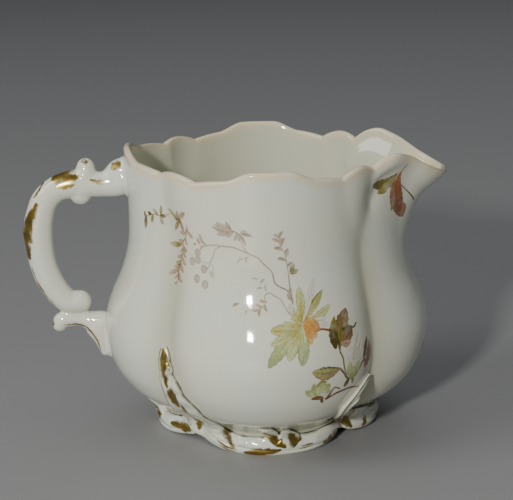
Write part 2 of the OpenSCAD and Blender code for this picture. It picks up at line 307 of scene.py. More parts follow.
BUMP_DEPTH = 0.0002   # metres
GLAZE_COOL = (0.690, 0.725, 0.625)
GLAZE_WARM = (0.712, 0.712, 0.585)
# painted shade: the darker, yellower glaze laid into the valleys, over the foot and inside the jug
GLAZE_SHADED = (0.500, 0.495, 0.350)
RIM_IVORY = (0.740, 0.630, 0.420)
SPECK = (0.30, 0.22, 0.15)
BISQUE, BISQUE_GRIME = (0.70, 0.66, 0.57), (0.50, 0.45, 0.37)
GOLD, GOLD_THIN = (0.40, 0.27, 0.045), (0.24, 0.175, 0.045)
GOLD_METALLIC = 0.92
STIPPLE = (0.72, 0.70, 0.60, 1.0)


def glaze_colour(m):
    """Off-white porcelain under clear glaze: slow drifts of tone and a few iron specks."""
    drift = ramp(m, noise(m, 28, 2.0), 0.35, 0.65)
    tone = mixed(m, drift, GLAZE_COOL, GLAZE_WARM)
    specks = ramp(m, noise(m, 1500, 1.0), 0.775, 0.79)
    return mixed(m, maths(m, "MULTIPLY", specks, 0.55), tone, SPECK)


def glaze_surface(m, shader, roughness=0.07):
    """Gloss, depth and the faint ripple of fired glaze."""
    uneven = spread_out(m, noise(m, 60, 3.0), 0.3, 0.7, roughness * 0.7, roughness * 1.7)
    link(m, uneven, shader.inputs["Roughness"])
    for key, value in {"IOR": 1.52, "Subsurface Weight": 0.12, "Subsurface Radius": (1.0, 0.85, 0.6),
                       "Subsurface Scale": 0.0015, "Coat Weight": 0.35, "Coat Roughness": 0.03}.items():
        shader.inputs[key].default_value = value
    bumped(m, shader, 0.10, noise(m, 120, 2.0))


def body_glaze():
    m, shader = new_material("body_glaze")
    tone = glaze_colour(m)
    # painted shade: darker, yellower glaze in the valleys between the lobes and in the band over the foot
    tone = mixed(m, maths(m, "MULTIPLY", attribute(m, "painted_shade"), 0.8), tone, GLAZE_SHADED)
    # painted shade: the inner wall, lip and floor of the jug are darkened and yellowed towards the same
    # glaze
    tone = mixed(m, maths(m, "MULTIPLY", attribute(m, "inside"), 0.6), tone, GLAZE_SHADED)
    worn = ramp(m, noise(m, 220, 4.0, 0.65), 0.34, 0.60)
    ivory = maths(m, "MULTIPLY", attribute(m, "rim"), spread_out(m, worn, 0.0, 1.0, 0.35, 0.85))
    link(m, mixed(m, ivory, tone, RIM_IVORY), shader.inputs["Base Color"])
    glaze_surface(m, shader)
    return m


def gilded_glaze(name, keep=0.5):
    """Glaze with brushed gilding where the mesh's gilt attribute is high; keep is how little is worn."""
    m, shader = new_material(name)
    tone = glaze_colour(m)
    brush = noise(m, 620, 5.0, 0.7, stretch=(1.0, 1.0, 0.4))
    gilt = maths(m, "ADD", attribute(m, "gilt"), spread_out(m, brush, 0.25, 0.75, -0.5, 0.5))
    mask = ramp(m, gilt, 1 - keep - 0.32, 1 - keep + 0.30)
    metal = mixed(m, ramp(m, noise(m, 420, 4.0), 0.35, 0.7), GOLD, GOLD_THIN)
    link(m, mixed(m, mask, tone, metal), shader.inputs["Base Color"])
    glaze_surface(m, shader)
    link(m, level(m, mask, 0.08, 0.34), shader.inputs["Roughness"])
    link(m, maths(m, "MULTIPLY", mask, GOLD_METALLIC), shader.inputs["Metallic"])
    shader.inputs["Subsurface Weight"].default_value = 0.0
    shader.inputs["Coat Weight"].default_value = 0.15
    return m


def bisque_and_glaze():
    """Unglazed lower edge, rubbed grey where it has stood, under a glazed wall."""
    m, shader = new_material("foot_bisque")
    grime = ramp(m, noise(m, 300, 5.0, 0.7), 0.35, 0.7)
    bare = mixed(m, grime, BISQUE, BISQUE_GRIME)
    link(m, mixed(m, attribute(m, "bare"), glaze_colour(m), bare), shader.inputs["Base Color"])
    link(m, level(m, attribute(m, "bare"), 0.1, 0.75), shader.inputs["Roughness"])
    bumped(m, shader, 0.35, noise(m, 1800, 3.0))
    return m


def enamel(name, roughness=0.16):
    """Printed and hand-tinted colour under a thin gloss: tone from the mesh, broken by a fine stipple."""
    m, shader = new_material(name)
    stipple = maths(m, "MULTIPLY", ramp(m, noise(m, 1500, 2.0), 0.42, 0.62), 0.5)
    wash = node(m, "Mix", {"data_type": "RGBA", "blend_type": "MULTIPLY"},
                i0=stipple, i6=attribute(m, "ink", "Color"), i7=STIPPLE).outputs[2]
    faded = maths(m, "MULTIPLY", ramp(m, noise(m, 420, 3.0), 0.45, 0.7), 0.2)
    link(m, mixed(m, faded, wash, GLAZE_WARM), shader.inputs["Base Color"])
    shader.inputs["Roughness"].default_value = roughness
    shader.inputs["Coat Weight"].default_value = 0.5
    shader.inputs["Coat Roughness"].default_value = 0.05
    return m


# ---- mesh builders
def new_piece(name, points, faces, material, nodes=(), values=None, colours=None, sharp=None):
    """A smooth-shaded mesh in the row frame that rides on the one body. points are in millimetres."""
    mesh = bpy.data.meshes.new(name)
    mesh.from_pydata((np.asarray(points, float) * MM).tolist(), [], faces)
    mesh.validate()
    for key, data in (values or {}).items():
        layer = mesh.attributes.new(key, "FLOAT", "POINT")
        layer.data.foreach_set("value", np.asarray(data, np.float32).ravel())
    if colours is not None:
        layer = mesh.color_attributes.new("ink", "FLOAT_COLOR", "POINT")
        rgba = np.ones((len(colours), 4), np.float32)
        rgba[:, :3] = colours
        layer.data.foreach_set("color", rgba.ravel())
    mesh.shade_smooth()
    if sharp is not None:
        mesh.set_sharp_from_angle(angle=math.radians(sharp))
    mesh.materials.append(material)
    piece = bpy.data.objects.new(name, mesh)
    bpy.context.scene.collection.objects.link(piece)
    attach(piece, "root")
    if nodes:
        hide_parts(*nodes)
    return piece


def grid_faces(rows, columns, closed=False, start=0, flip=False):
    """Quads of a rows by columns grid; closed joins the last column to the first."""
    last = columns if closed else columns - 1
    quads = []
    for j in range(rows - 1):
        for i in range(last):
            k = (i + 1) % columns
            a, b = start + j * columns, start + (j + 1) * columns
            quad = [a + i, a + k, b + k, b + i]
            quads.append(quad[::-1] if flip else quad)
    return quads


def bridge(last, n):
    """Quads from the ring of n vertices that starts at last back to the first ring."""
    return [[last + i, last + (i + 1) % n, (i + 1) % n, i] for i in range(n)]


def fan(ring, centre, flip=False):
    """Triangles from a ring of vertices to one centre."""
    faces = [[ring[i], ring[(i + 1) % len(ring)], centre] for i in range(len(ring))]
    return [f[::-1] for f in faces] if flip else faces


# ---- body
def round_trip(step):
    """Angles round the jug with one at every notch of the rim."""
    stops = [0, NOTCH_B, 90 - NOTCH_A, 90, 90 + NOTCH_A, 180 - NOTCH_H, 180]
    half = []
    for a, b in zip(stops, stops[1:]):
        count = max(2, round((b - a) / step))
        half.extend(np.linspace(a, b, count, endpoint=False))
    return np.array(half + [180.0] + [-a for a in half[:0:-1]])


def make_body():
    angles = round_trip(0.9)
    lip_z = rim_z(angles) - LIP
    lip_r = outer_r(angles, lip_z)
    rings, inside, rim, painted_shade = [], [], [], []

    def ring(r, z, inner=0.0, edge=0.0):
        rings.append(at(angles, r, z))
        painted_shade.append(hollow_shade(angles, z + 0 * angles) * (1 - inner))
        inside.append(np.full(len(angles), float(inner)))
        rim.append(np.full(len(angles), float(edge)))

    for u in np.linspace(0, 1, 104):
        z = mix(FOOT_H, lip_z, u ** 1.05)
        ring(outer_r(angles, z), z, 0, ease(0.972, 1.0, u))
    for phi in np.linspace(0, np.pi, 11)[1:]:
        ring(lip_r - WALL / 2 * (1 - np.cos(phi)), lip_z + LIP * np.sin(phi), 0.5 - 0.5 * np.cos(phi), 1)
    floor_z = FOOT_H + FLOOR_T
    for u in np.linspace(1, 0, 62)[1:]:
        z = mix(floor_z + COVE, lip_z, u)
        ring(outer_r(angles, z) - WALL, z, 1, ease(0.975, 1.0, u))
    wall_r = outer_r(angles, np.full(len(angles), floor_z + COVE)) - WALL
    cove_w = 2.2 * COVE
    for phi in np.linspace(0, np.pi / 2, 10)[1:]:
        ring(wall_r - cove_w * (1 - np.cos(phi)), floor_z + COVE * (1 - np.sin(phi)) + 0 * angles, 1)
    flat_r = wall_r - cove_w
    for s in (0.85, 0.68, 0.5, 0.33, 0.17):
        ring(flat_r * s, floor_z + 0 * angles, 1)
    count, n = len(rings), len(angles)
    points = list(np.concatenate(rings))
    faces = grid_faces(count, n, closed=True)
    points.append([0, 0, floor_z])
    faces += fan([(count - 1) * n + i for i in range(n)], len(points) - 1)
    under = []
    base_r = outer_r(angles, np.full(n, FOOT_H))
    for s in (0.94, 0.8, 0.6, 0.4, 0.2):
        under.append(at(angles, base_r * s, FOOT_H + UNDER_RISE * ease(0.9, 0.5, s) + 0 * angles))
    start = len(points)
    points += list(np.concatenate(under))
    faces += [[i, start + i, start + (i + 1) % n, (i + 1) % n] for i in range(n)]
    faces += grid_faces(len(under), n, closed=True, start=start, flip=True)
    points.append([0, 0, FOOT_H + UNDER_RISE])
    faces += fan([start + (len(under) - 1) * n + i for i in range(n)], len(points) - 1, flip=True)
    zeros = np.zeros(len(points) - count * n)
    values = {"inside": inside, "rim": rim, "painted_shade": painted_shade}
    return new_piece("jug_body", points, faces, body_glaze(), ["body"],
                     {key: np.concatenate(value + [zeros]) for key, value in values.items()})


# ---- foot ring
def arch_z(angle):
    """Height of the foot's lower edge: ground level under each lobe, arched between."""
    off = np.abs((turn(angle) + 45) % 90 - 45)
    return mix(-GROUND, ARCH_H, ease(18, 47, off))


def make_foot_ring():
    angles = round_trip(1.0)
    outer = skin_r(angles, np.zeros(len(angles)))
    inner = outer - FOOT_W
    low = arch_z(angles)
    top = FOOT_H - 0.04
    rings, bare = [], []

    def wall(r, shares):
        for u in shares:
            rings.append(at(angles, r, mix(low + FOOT_ROUND, top, u)))
            bare.append(0.0)

    def rounding(r, inward, steps):
        for phi in steps:
            in_by, up_by = FOOT_ROUND * (1 - np.cos(phi)), FOOT_ROUND * (1 - np.sin(phi))
            rings.append(at(angles, r + inward * in_by, np.maximum(low + up_by, 0)))
            bare.append(ease(0.4, 1.2, phi))

    wall(inner, np.linspace(1, 0, 6))
    rounding(inner, 1, np.linspace(0, np.pi / 2, 5)[1:])
    rounding(outer, -1, np.linspace(np.pi / 2, 0, 5))
    wall(outer, np.linspace(0, 1, 6)[1:])
    n = len(angles)
    faces = grid_faces(len(rings), n, closed=True)
    faces += bridge((len(rings) - 1) * n, n)
    return new_piece("jug_foot_ring", np.concatenate(rings), faces, bisque_and_glaze(),
                     ["foot_ring"], {"bare": np.repeat(bare, n)}, sharp=50)


# ---- foot branches
TALL = {
    "upper_a": [-45.8, -44.4, -43.3, -42.4, -40.2, -36.6, -31.8, -27.2, -21.6, -14, -6.5, 1, 10, 20, 32,
                44.5],
    "upper_z": [35.5, 33.1, 30, 26.8, 23.4, 19.3, 14.8, 10.2, 6.6, 5.6, 5.6, 6.4, 6.2, 5.7, 5.9, 5.3],
    "lower_a": [-47.6, -48.5, -48.7, -49.2, -50, -51.6, -54.2, -54.4, -49, -33, -18, -4, 8, 21, 34, 42],
    "lower_z": [35.4, 32.5, 28.6, 24, 19.4, 14, 9.4, 4.9, 2.1, 0.6, 0, 0, 0, 0.2, 0.8, 1.9],
}
LOW = {
    "upper_a": [-45.2, -47.6, -51, -53.4, -52.4, -47.4, -41, -34, -27, -19, -9, 1, 10, 20, 31.5],
    "upper_z": [24.2, 22.2, 19.4, 16.4, 13.2, 10.6, 9.9, 9.6, 8, 6.2, 5.6, 6.2, 6.1, 5.9, 7],
    "lower_a": [-47, -51, -55.6, -59.4, -60.4, -57, -50.5, -44.2, -39.6, -29, -16, -3, 9, 21, 38],
    "lower_z": [24.9, 23.6, 21.4, 18.2, 14.2, 10, 6.9, 5.6, 2.2, 0.8, 0.1, 0, 0, 0.3, 1.7],
}
# the leaf folded over the middle of each branch, edges as above
LEAF = {
    "upper_a": [-6.2, -3.5, -0.8, 1.2, 2.9, 4.6, 6.8, 9.4, 12.4, 15],
    "upper_z": [10.8, 11, 10.9, 9.6, 7.1, 9.2, 9.6, 8.6, 7, 5.2],
    "lower_a": [-6.6, -5, -3.2, -1.2, 1, 3.6, 6.4, 9.4, 12, 14.6],
    "lower_z": [10.4, 8.3, 6.2, 4.2, 2.8, 2.0, 1.6, 1.8, 2.6, 4.4],
}
# brushed gold on the branches, as strokes: half width, strength, places [mm round the lobe, height]
TALL_GILT = [
    [1.0, 1.0, [(-30.6, 34.8), (-30.1, 29.4), (-30.8, 22.0)]],
    [1.7, 1.0, [(-29.4, 21.4), (-30.8, 14.6)]],
    [1.7, 1.0, [(-27.2, 15.8), (-29.2, 10.5), (-31.0, 4.6)]],
    [1.4, 0.9, [(-13.8, 9.4), (-16.2, 6.4), (-13.6, 2.2)]],
    [1.1, 1.1, [(-9.6, 0.8), (-4.0, 1.1), (2.2, 1.9)]],
    [0.22, 1.2, [(-20.4, 3.2), (-16.4, 1.9), (-12.4, 1.5)]],
    [0.2, 1.2, [(-19.4, 2.0), (-16.2, 0.9), (-12.8, 0.6)]],
    [0.22, 1.2, [(9.1, 1.5), (14.6, 1.9)]],
    [0.2, 1.2, [(9.6, 2.5), (14.0, 2.9)]],
    [1.2, 0.8, [(18.6, 1.6), (26.8, 2.2)]],
]
LOW_GILT = [
    [0.5, 0.9, [(-33, 22.2), (-36.8, 17)]],
    [1.2, 1.0, [(-37.6, 14.4), (-35.5, 10.4), (-31.5, 7)]],
    [1.3, 1.0, [(-27.5, 9.4), (-27.5, 5.6), (-24.5, 2.6)]],
    [1.1, 0.9, [(-18.5, 4.8), (-18.5, 1.2)]],
    [1.1, 1.0, [(-8.5, 1.0), (1.5, 1.6)]],
    [1.2, 1.0, [(16.5, 3.9), (25.5, 3.2)]],
]
LEAF_GILT = [
    [1.5, 1.1, [(-3.0, 9.0), (0.4, 5.4), (3.6, 2.9)]],
    [1.5, 1.0, [(4.9, 8.0), (9.1, 2.0)]],
]


def branch_edge(shape, side, s):
    """Angle off the lobe's middle and height of one edge of a branch at run s."""
    a, z = track(np.column_stack([shape[side + "_a"], shape[side + "_z"]]), s)
    if side == "upper" and shape is not LEAF:
        scallops = 1.6 * np.abs(np.cos(np.pi * 0.62 * s)) ** 3
        a = a - scallops * ease(1.2, 2.2, s) * (1 - ease(6.8, 8, s))
    return a, np.maximum(z, 0)


def branch_place(shape, lobe, s, u):
    """Angle and height at run s and share u of the width, from the lower to the upper edge."""
    a0, z0 = branch_edge(shape, "lower", s)
    a1, z1 = branch_edge(shape, "upper", s)
    return lobe + mix(a0, a1, u), mix(z0, z1, u)


def off_the_edges(u):
    """Fades the fine relief out at both edges of a strip."""
    return np.clip(np.sin(np.pi * u) * 1.6, 0, 1)


def branch_relief(shape, s, u):
    """Moulded thickness: a rounded stem with strands, knots and a beaded upper edge."""
    runs = len(shape["upper_a"]) - 1
    full = mix(0.9, BRANCH_T, ease(0, 3, s)) * mix(1, 0.75, ease(runs - 1, runs, s))
    across = 0.35 + 0.65 * np.sin(mix(math.radians(8), math.radians(172), u)) ** 0.6
    strand = 0.15 * np.sin(2 * np.pi * (1.6 * u + 0.42 * s)) * ease(0.5, 3, s)
    groove = -0.36 * bell(u, 0.34 + 0.12 * np.sin(0.9 * s), 0.07) * ease(1.5, 3.5, s)
    climb = ease(1.5, 3, s) * ease(9, 7.5, s)
    beads = 0.34 * np.sin(np.pi * 2.1 * s) * bell(u, 0.86, 0.16) * climb
    fold = -0.42 * bell(u, 0.66 - 0.05 * s, 0.06) * climb
    knots = sum(0.4 * bell(s, k, 0.3) * bell(u, 0.7, 0.4) for k in (2.7, 6.2, 9.4, 13.2))
    return full * across + (strand + groove + beads + fold + knots) * off_the_edges(u)


def leaf_relief(shape, s, u):
    """The folded leaf stands over the stem, hollowed along its middle vein."""
    runs = len(shape["upper_a"]) - 1
    full = 2.75 * ease(-0.6, 1.4, s) * mix(1, 0.8, ease(runs - 1.6, runs, s))
    across = 0.5 + 0.5 * np.sin(mix(math.radians(10), math.radians(170), u)) ** 0.7
    vein = -0.32 * bell(u, 0.52, 0.08) + 0.05 * np.sin(2 * np.pi * (0.9 * s + 1.2 * np.abs(u - 0.5)))
    return full * across + vein * off_the_edges(u)


def brushed(strokes, x, z):
    """Gilding left by brush strokes: high along each one, falling off to its worn sides and ends."""
    field = np.full(np.shape(x), -0.3)
    for half, strength, places in strokes:
        count = len(places) - 1
        for k, ((x0, z0), (x1, z1)) in enumerate(zip(places, places[1:])):
            dx, dz = x1 - x0, z1 - z0
            t = np.clip(((x - x0) * dx + (z - z0) * dz) / (dx * dx + dz * dz), 0, 1)
            width = half * (0.4 + 0.75 * np.sin(np.pi * (k + t) / count))
            away = np.hypot(x - x0 - t * dx, z - z0 - t * dz) / width
            field = np.maximum(field, strength * (1.15 - 0.62 * away))
    return field


def make_branch(name, lobe, shape, relief, gilt, material, nodes=()):
    """One moulded strip of the foot: its relief over a flat back bedded on the skin."""
    runs = len(shape["upper_a"]) - 1
    s, u = np.meshgrid(np.linspace(0, runs, runs * 16 + 1), np.linspace(0, 1, 31), indexing="ij")
    a, z = branch_place(shape, lobe, s, u)
    skin = skin_r(a, z)
    top, under = at(a, skin + BED + relief(shape, s, u), z), at(a, skin + 0.02, z)
    rows, columns = s.shape
    section = np.concatenate([top, under[:, ::-1]], axis=1)
    faces = grid_faces(rows, 2 * columns, closed=True)
    faces.append(list(range(2 * columns)))
    faces.append(list(range((rows - 1) * 2 * columns, rows * 2 * columns))[::-1])
    field = brushed(gilt, np.radians(a - lobe) * SWEEP_R, z)
    gold = np.concatenate([field, field[:, ::-1]], axis=1)
    return new_piece(name, section.reshape(-1, 3), faces, material, nodes,
                     {"gilt": gold}, sharp=65)


# ---- handle
ARM = [[44.9, ARM_Z + 1.4, 5.2], [46.4, ARM_Z + 0.7, 4.8], [48.5, ARM_Z, 4.4], [52, ARM_Z - 0.2, 4.1],
       [57, ARM_Z, 4.3], [62, ARM_Z, 4.5], [67.4, ARM_Z - 1.7, 4.2], [71.2, ARM_Z - 5.6, 4.4],
       [72.8, ARM_Z - 10.8, 4.5], [73.4, ARM_Z - 16, 4.55], [73.2, ARM_Z - 21, 4.5],
       [72.5, ARM_Z - 26, 4.4], [70.8, ARM_Z - 31.2, 4.4], [68, ARM_Z - 36, 4.2],
       [64.6, ARM_Z - 39.2, 4.0], [61.0, ARM_Z - 39.3, 3.8]]
KNUCKLE = [[57.3, ARM_Z + 5.5, 3.0], [57.5, ARM_Z + 3.6, 3.7], [58.5, ARM_Z, 4.2], [59, ARM_Z - 2, 4.2],
           [59.3, ARM_Z - 3.2, 3.6]]
THORN = [[73.4, ARM_Z - 9, 3.6], [75.2, ARM_Z - 13.5, 3.2], [76.6, ARM_Z - 15.8, 2.0],
         [75.0, ARM_Z - 19.5, 3.0], [73.0, ARM_Z - 25, 3.2]]
BRACKET = [[68.0, ARM_Z - 47.0, 2.5], [67.2, ARM_Z - 45.6, 2.8], [64.4, ARM_Z - 45.0, 2.7],
           [61, ARM_Z - 45.1, 2.6], [57.8, ARM_Z - 46.2, 3.2], [55.8, ARM_Z - 48.4, 3.8],
           [54.0, ARM_Z - 52.0, 3.2], [53.1, ARM_Z - 56.0, 2.3]]
ROOT_TOP = [[50.4, ARM_Z + 0.4, 3.9], [48.6, ARM_Z + 1.7, 4.0], [46.6, ARM_Z + 3.4, 4.4],
            [45.2, ARM_Z + 3.8, 4.6]]
ROOT_BASE = [[57, ARM_Z - 46.0, 3.3], [54.4, ARM_Z - 46.4, 3.7]]


def tube(beads, flat, sides=28, steps=7):
    """Closed tube with round ends through [distance, height, radius] beads in the XZ plane."""
    distance, z, r = track(beads, between(beads, steps))
    x = -distance
    dx, dz = np.gradient(x), np.gradient(z)
    length = np.hypot(dx, dz)
    dx, dz = dx / length, dz / length
    turns = np.linspace(0, 2 * np.pi, sides, endpoint=False)
    rings = []

    def ring(i, forward, share):
        side, rise = np.cos(turns) * r[i] * share, np.sin(turns) * r[i] * share
        rings.append(np.column_stack([x[i] + dx[i] * forward - dz[i] * side, flat * rise,
                                      z[i] + dz[i] * forward + dx[i] * side]))

    dome = np.radians([20, 40, 60, 80])
    for phi in dome[::-1]:
        ring(0, -r[0] * np.sin(phi), np.cos(phi))
    for i in range(len(x)):
        ring(i, 0, 1)
    for phi in dome:
        ring(-1, r[-1] * np.sin(phi), np.cos(phi))
    points = list(np.concatenate(rings))
    faces = grid_faces(len(rings), sides, closed=True)
    points.append(np.mean(rings[0], axis=0))
    faces += fan(list(range(sides)), len(points) - 1, flip=True)
    points.append(np.mean(rings[-1], axis=0))
    faces += fan([(len(rings) - 1) * sides + i for i in range(sides)], len(points) - 1)
    return np.array(points), faces


def fused(name, tubes, voxel, passes):
    """One smooth skin over several overlapping tubes, as points in millimetres and faces."""
    points, faces = [], []
    for p, f in tubes:
        faces += [[i + len(points) for i in face] for face in f]
        points += list(p)
    mesh = bpy.data.meshes.new(name + "_rough")
    mesh.from_pydata((np.array(points) * MM).tolist(), [], faces)
    rough = bpy.data.objects.new(name + "_rough", mesh)
    bpy.context.scene.collection.objects.link(rough)
    remesh = rough.modifiers.new("skin", "REMESH")
    remesh.mode = "VOXEL"
    remesh.voxel_size = voxel * MM
    relax = rough.modifiers.new("relax", "SMOOTH")
    relax.factor, relax.iterations = 0.5, passes
    bpy.context.view_layer.update()
    skin = rough.evaluated_get(bpy.context.evaluated_depsgraph_get()).to_mesh()
    count = len(skin.vertices)
    flat = np.empty(count * 3, np.float32)
    skin.vertices.foreach_get("co", flat)
    polygons = [list(p.vertices) for p in skin.polygons]
    rough.to_mesh_clear()
    bpy.data.objects.remove(rough)
    bpy.data.meshes.remove(mesh)
    return flat.reshape(-1, 3).astype(float) / MM, polygons


# brushed gold on the handle, as strokes: half width, strength, places [distance, height]
HANDLE_GILT = [
    [1.9, 1.0, [(67.8, 83.2), (64.2, 84.1), (60.2, 83.8)]],
    [0.9, 0.9, [(66.2, 81.0), (61.0, 81.7)]],
    [1.5, 1.0, [(73.4, 75.2), (75.6, 71), (77.0, 66.5), (77.2, 61.2), (76.6, 57.2)]],
    [0.7, 0.75, [(55.6, 83.0), (52.8, 82.2), (50.4, 82.4)]],
    [1.1, 1.0, [(48.8, 86.4), (45.8, 88.2)]],
    [0.7, 0.7, [(58.9, 88.2), (56.0, 88.7)]],
    [0.35, 0.8, [(74.2, 77.3), (72.4, 79.5), (70.8, 82.2)]],
    [0.45, 0.65, [(76.2, 54.6), (74.4, 49.4), (71.8, 44.6), (68.9, 40.9)]],
    [0.8, 0.7, [(70.1, 36.2), (70.4, 33.6)]],
    [0.3, 0.9, [(66.4, 34.4), (62.6, 34.6), (59.6, 33.8), (57.2, 31.6), (55.6, 28.4), (54.8, 24.0)]],
]


HANDLE_VOXEL, HANDLE_RELAX = 0.34, 9      # mm, and passes


def make_handle():
    tubes = [tube(b, HANDLE_FLAT) for b in (ARM, KNUCKLE, THORN, BRACKET, ROOT_TOP, ROOT_BASE)]
    points, faces = fused("handle", tubes, HANDLE_VOXEL, HANDLE_RELAX)
    return new_piece("jug_handle", points, faces, gilded_glaze("handle_glaze", 0.42),
                     ["handle"], {"gilt": brushed(HANDLE_GILT, -points[:, 0], points[:, 2])})


# ---- slip joints
def body_face(y, z):
    """Distance of the body's outer face from the axis on the handle's side."""
    r = outer_r(180 - np.degrees(np.arcsin(y / 48)), z)
    r = outer_r(180 - np.degrees(np.arcsin(y / r)), z)
    return np.sqrt(r * r - y * y)


def make_slip(name, node_name, z0, z1, r, reach, spread):
    """Collar of slip wiped round the joint: it runs out thin on the body and climbs the handle."""
    turns = np.linspace(0, 2 * np.pi, 72, endpoint=False)
    side, rise = np.sin(turns), np.cos(turns)
    middle = np.where(rise > 0, z1, z0)
    rings = []
    for phi in np.linspace(0, np.pi / 2, 9):
        out = r + spread * (1 - np.sin(phi))
        y, z = side * out * HANDLE_FLAT, middle + rise * out
        depth = body_face(y, z) + 0.03 + reach * (1 - np.cos(phi))
        rings.append(np.column_stack([-depth, y, z]))
    inner = r - 1.2
    for depth in (reach, 0.0):
        y, z = side * inner * HANDLE_FLAT, middle + rise * inner
        rings.append(np.column_stack([-body_face(y, z) - depth, y, z]))
    n = len(turns)
    faces = grid_faces(len(rings), n, closed=True)
    faces += bridge((len(rings) - 1) * n, n)
    return new_piece(name, np.concatenate(rings), faces, gilded_glaze(name + "_glaze", 0.2),
                     [node_name], {"gilt": np.zeros(len(rings) * n)}, sharp=50)


# ---- printed spray
rng = np.random.default_rng(7)
PORCELAIN_SEEN = srgb(186, 188, 180)
INK_DEPTH = 1.3


def ink(r, g, b):
    """A printed colour as it is seen beside the porcelain, made into a surface colour."""
    seen = srgb(r, g, b)
    return np.array([g0 * (s / p) ** INK_DEPTH for s, p, g0 in zip(seen, PORCELAIN_SEEN, GLAZE_COOL)])


PALE_GREEN, GREY_GREEN = ink(172, 178, 138), ink(146, 154, 112)
YELLOW_GREEN, OLIVE = ink(166, 160, 104), ink(132, 122, 62)
DARK_OLIVE, BROWN = ink(90, 82, 38), ink(112, 90, 60)
PINK_BROWN, ORANGE = ink(156, 139, 120), ink(178, 143, 80)
RUST, RED_BROWN = ink(152, 100, 62), ink(118, 84, 54)
VINE, VINE_DARK = ink(166, 158, 145), ink(142, 132, 117)
LILAC, LINE = ink(164, 158, 148), ink(84, 76, 48)
PENCIL = ink(66, 54, 32)
WHITE_PETAL = ink(188, 186, 176)


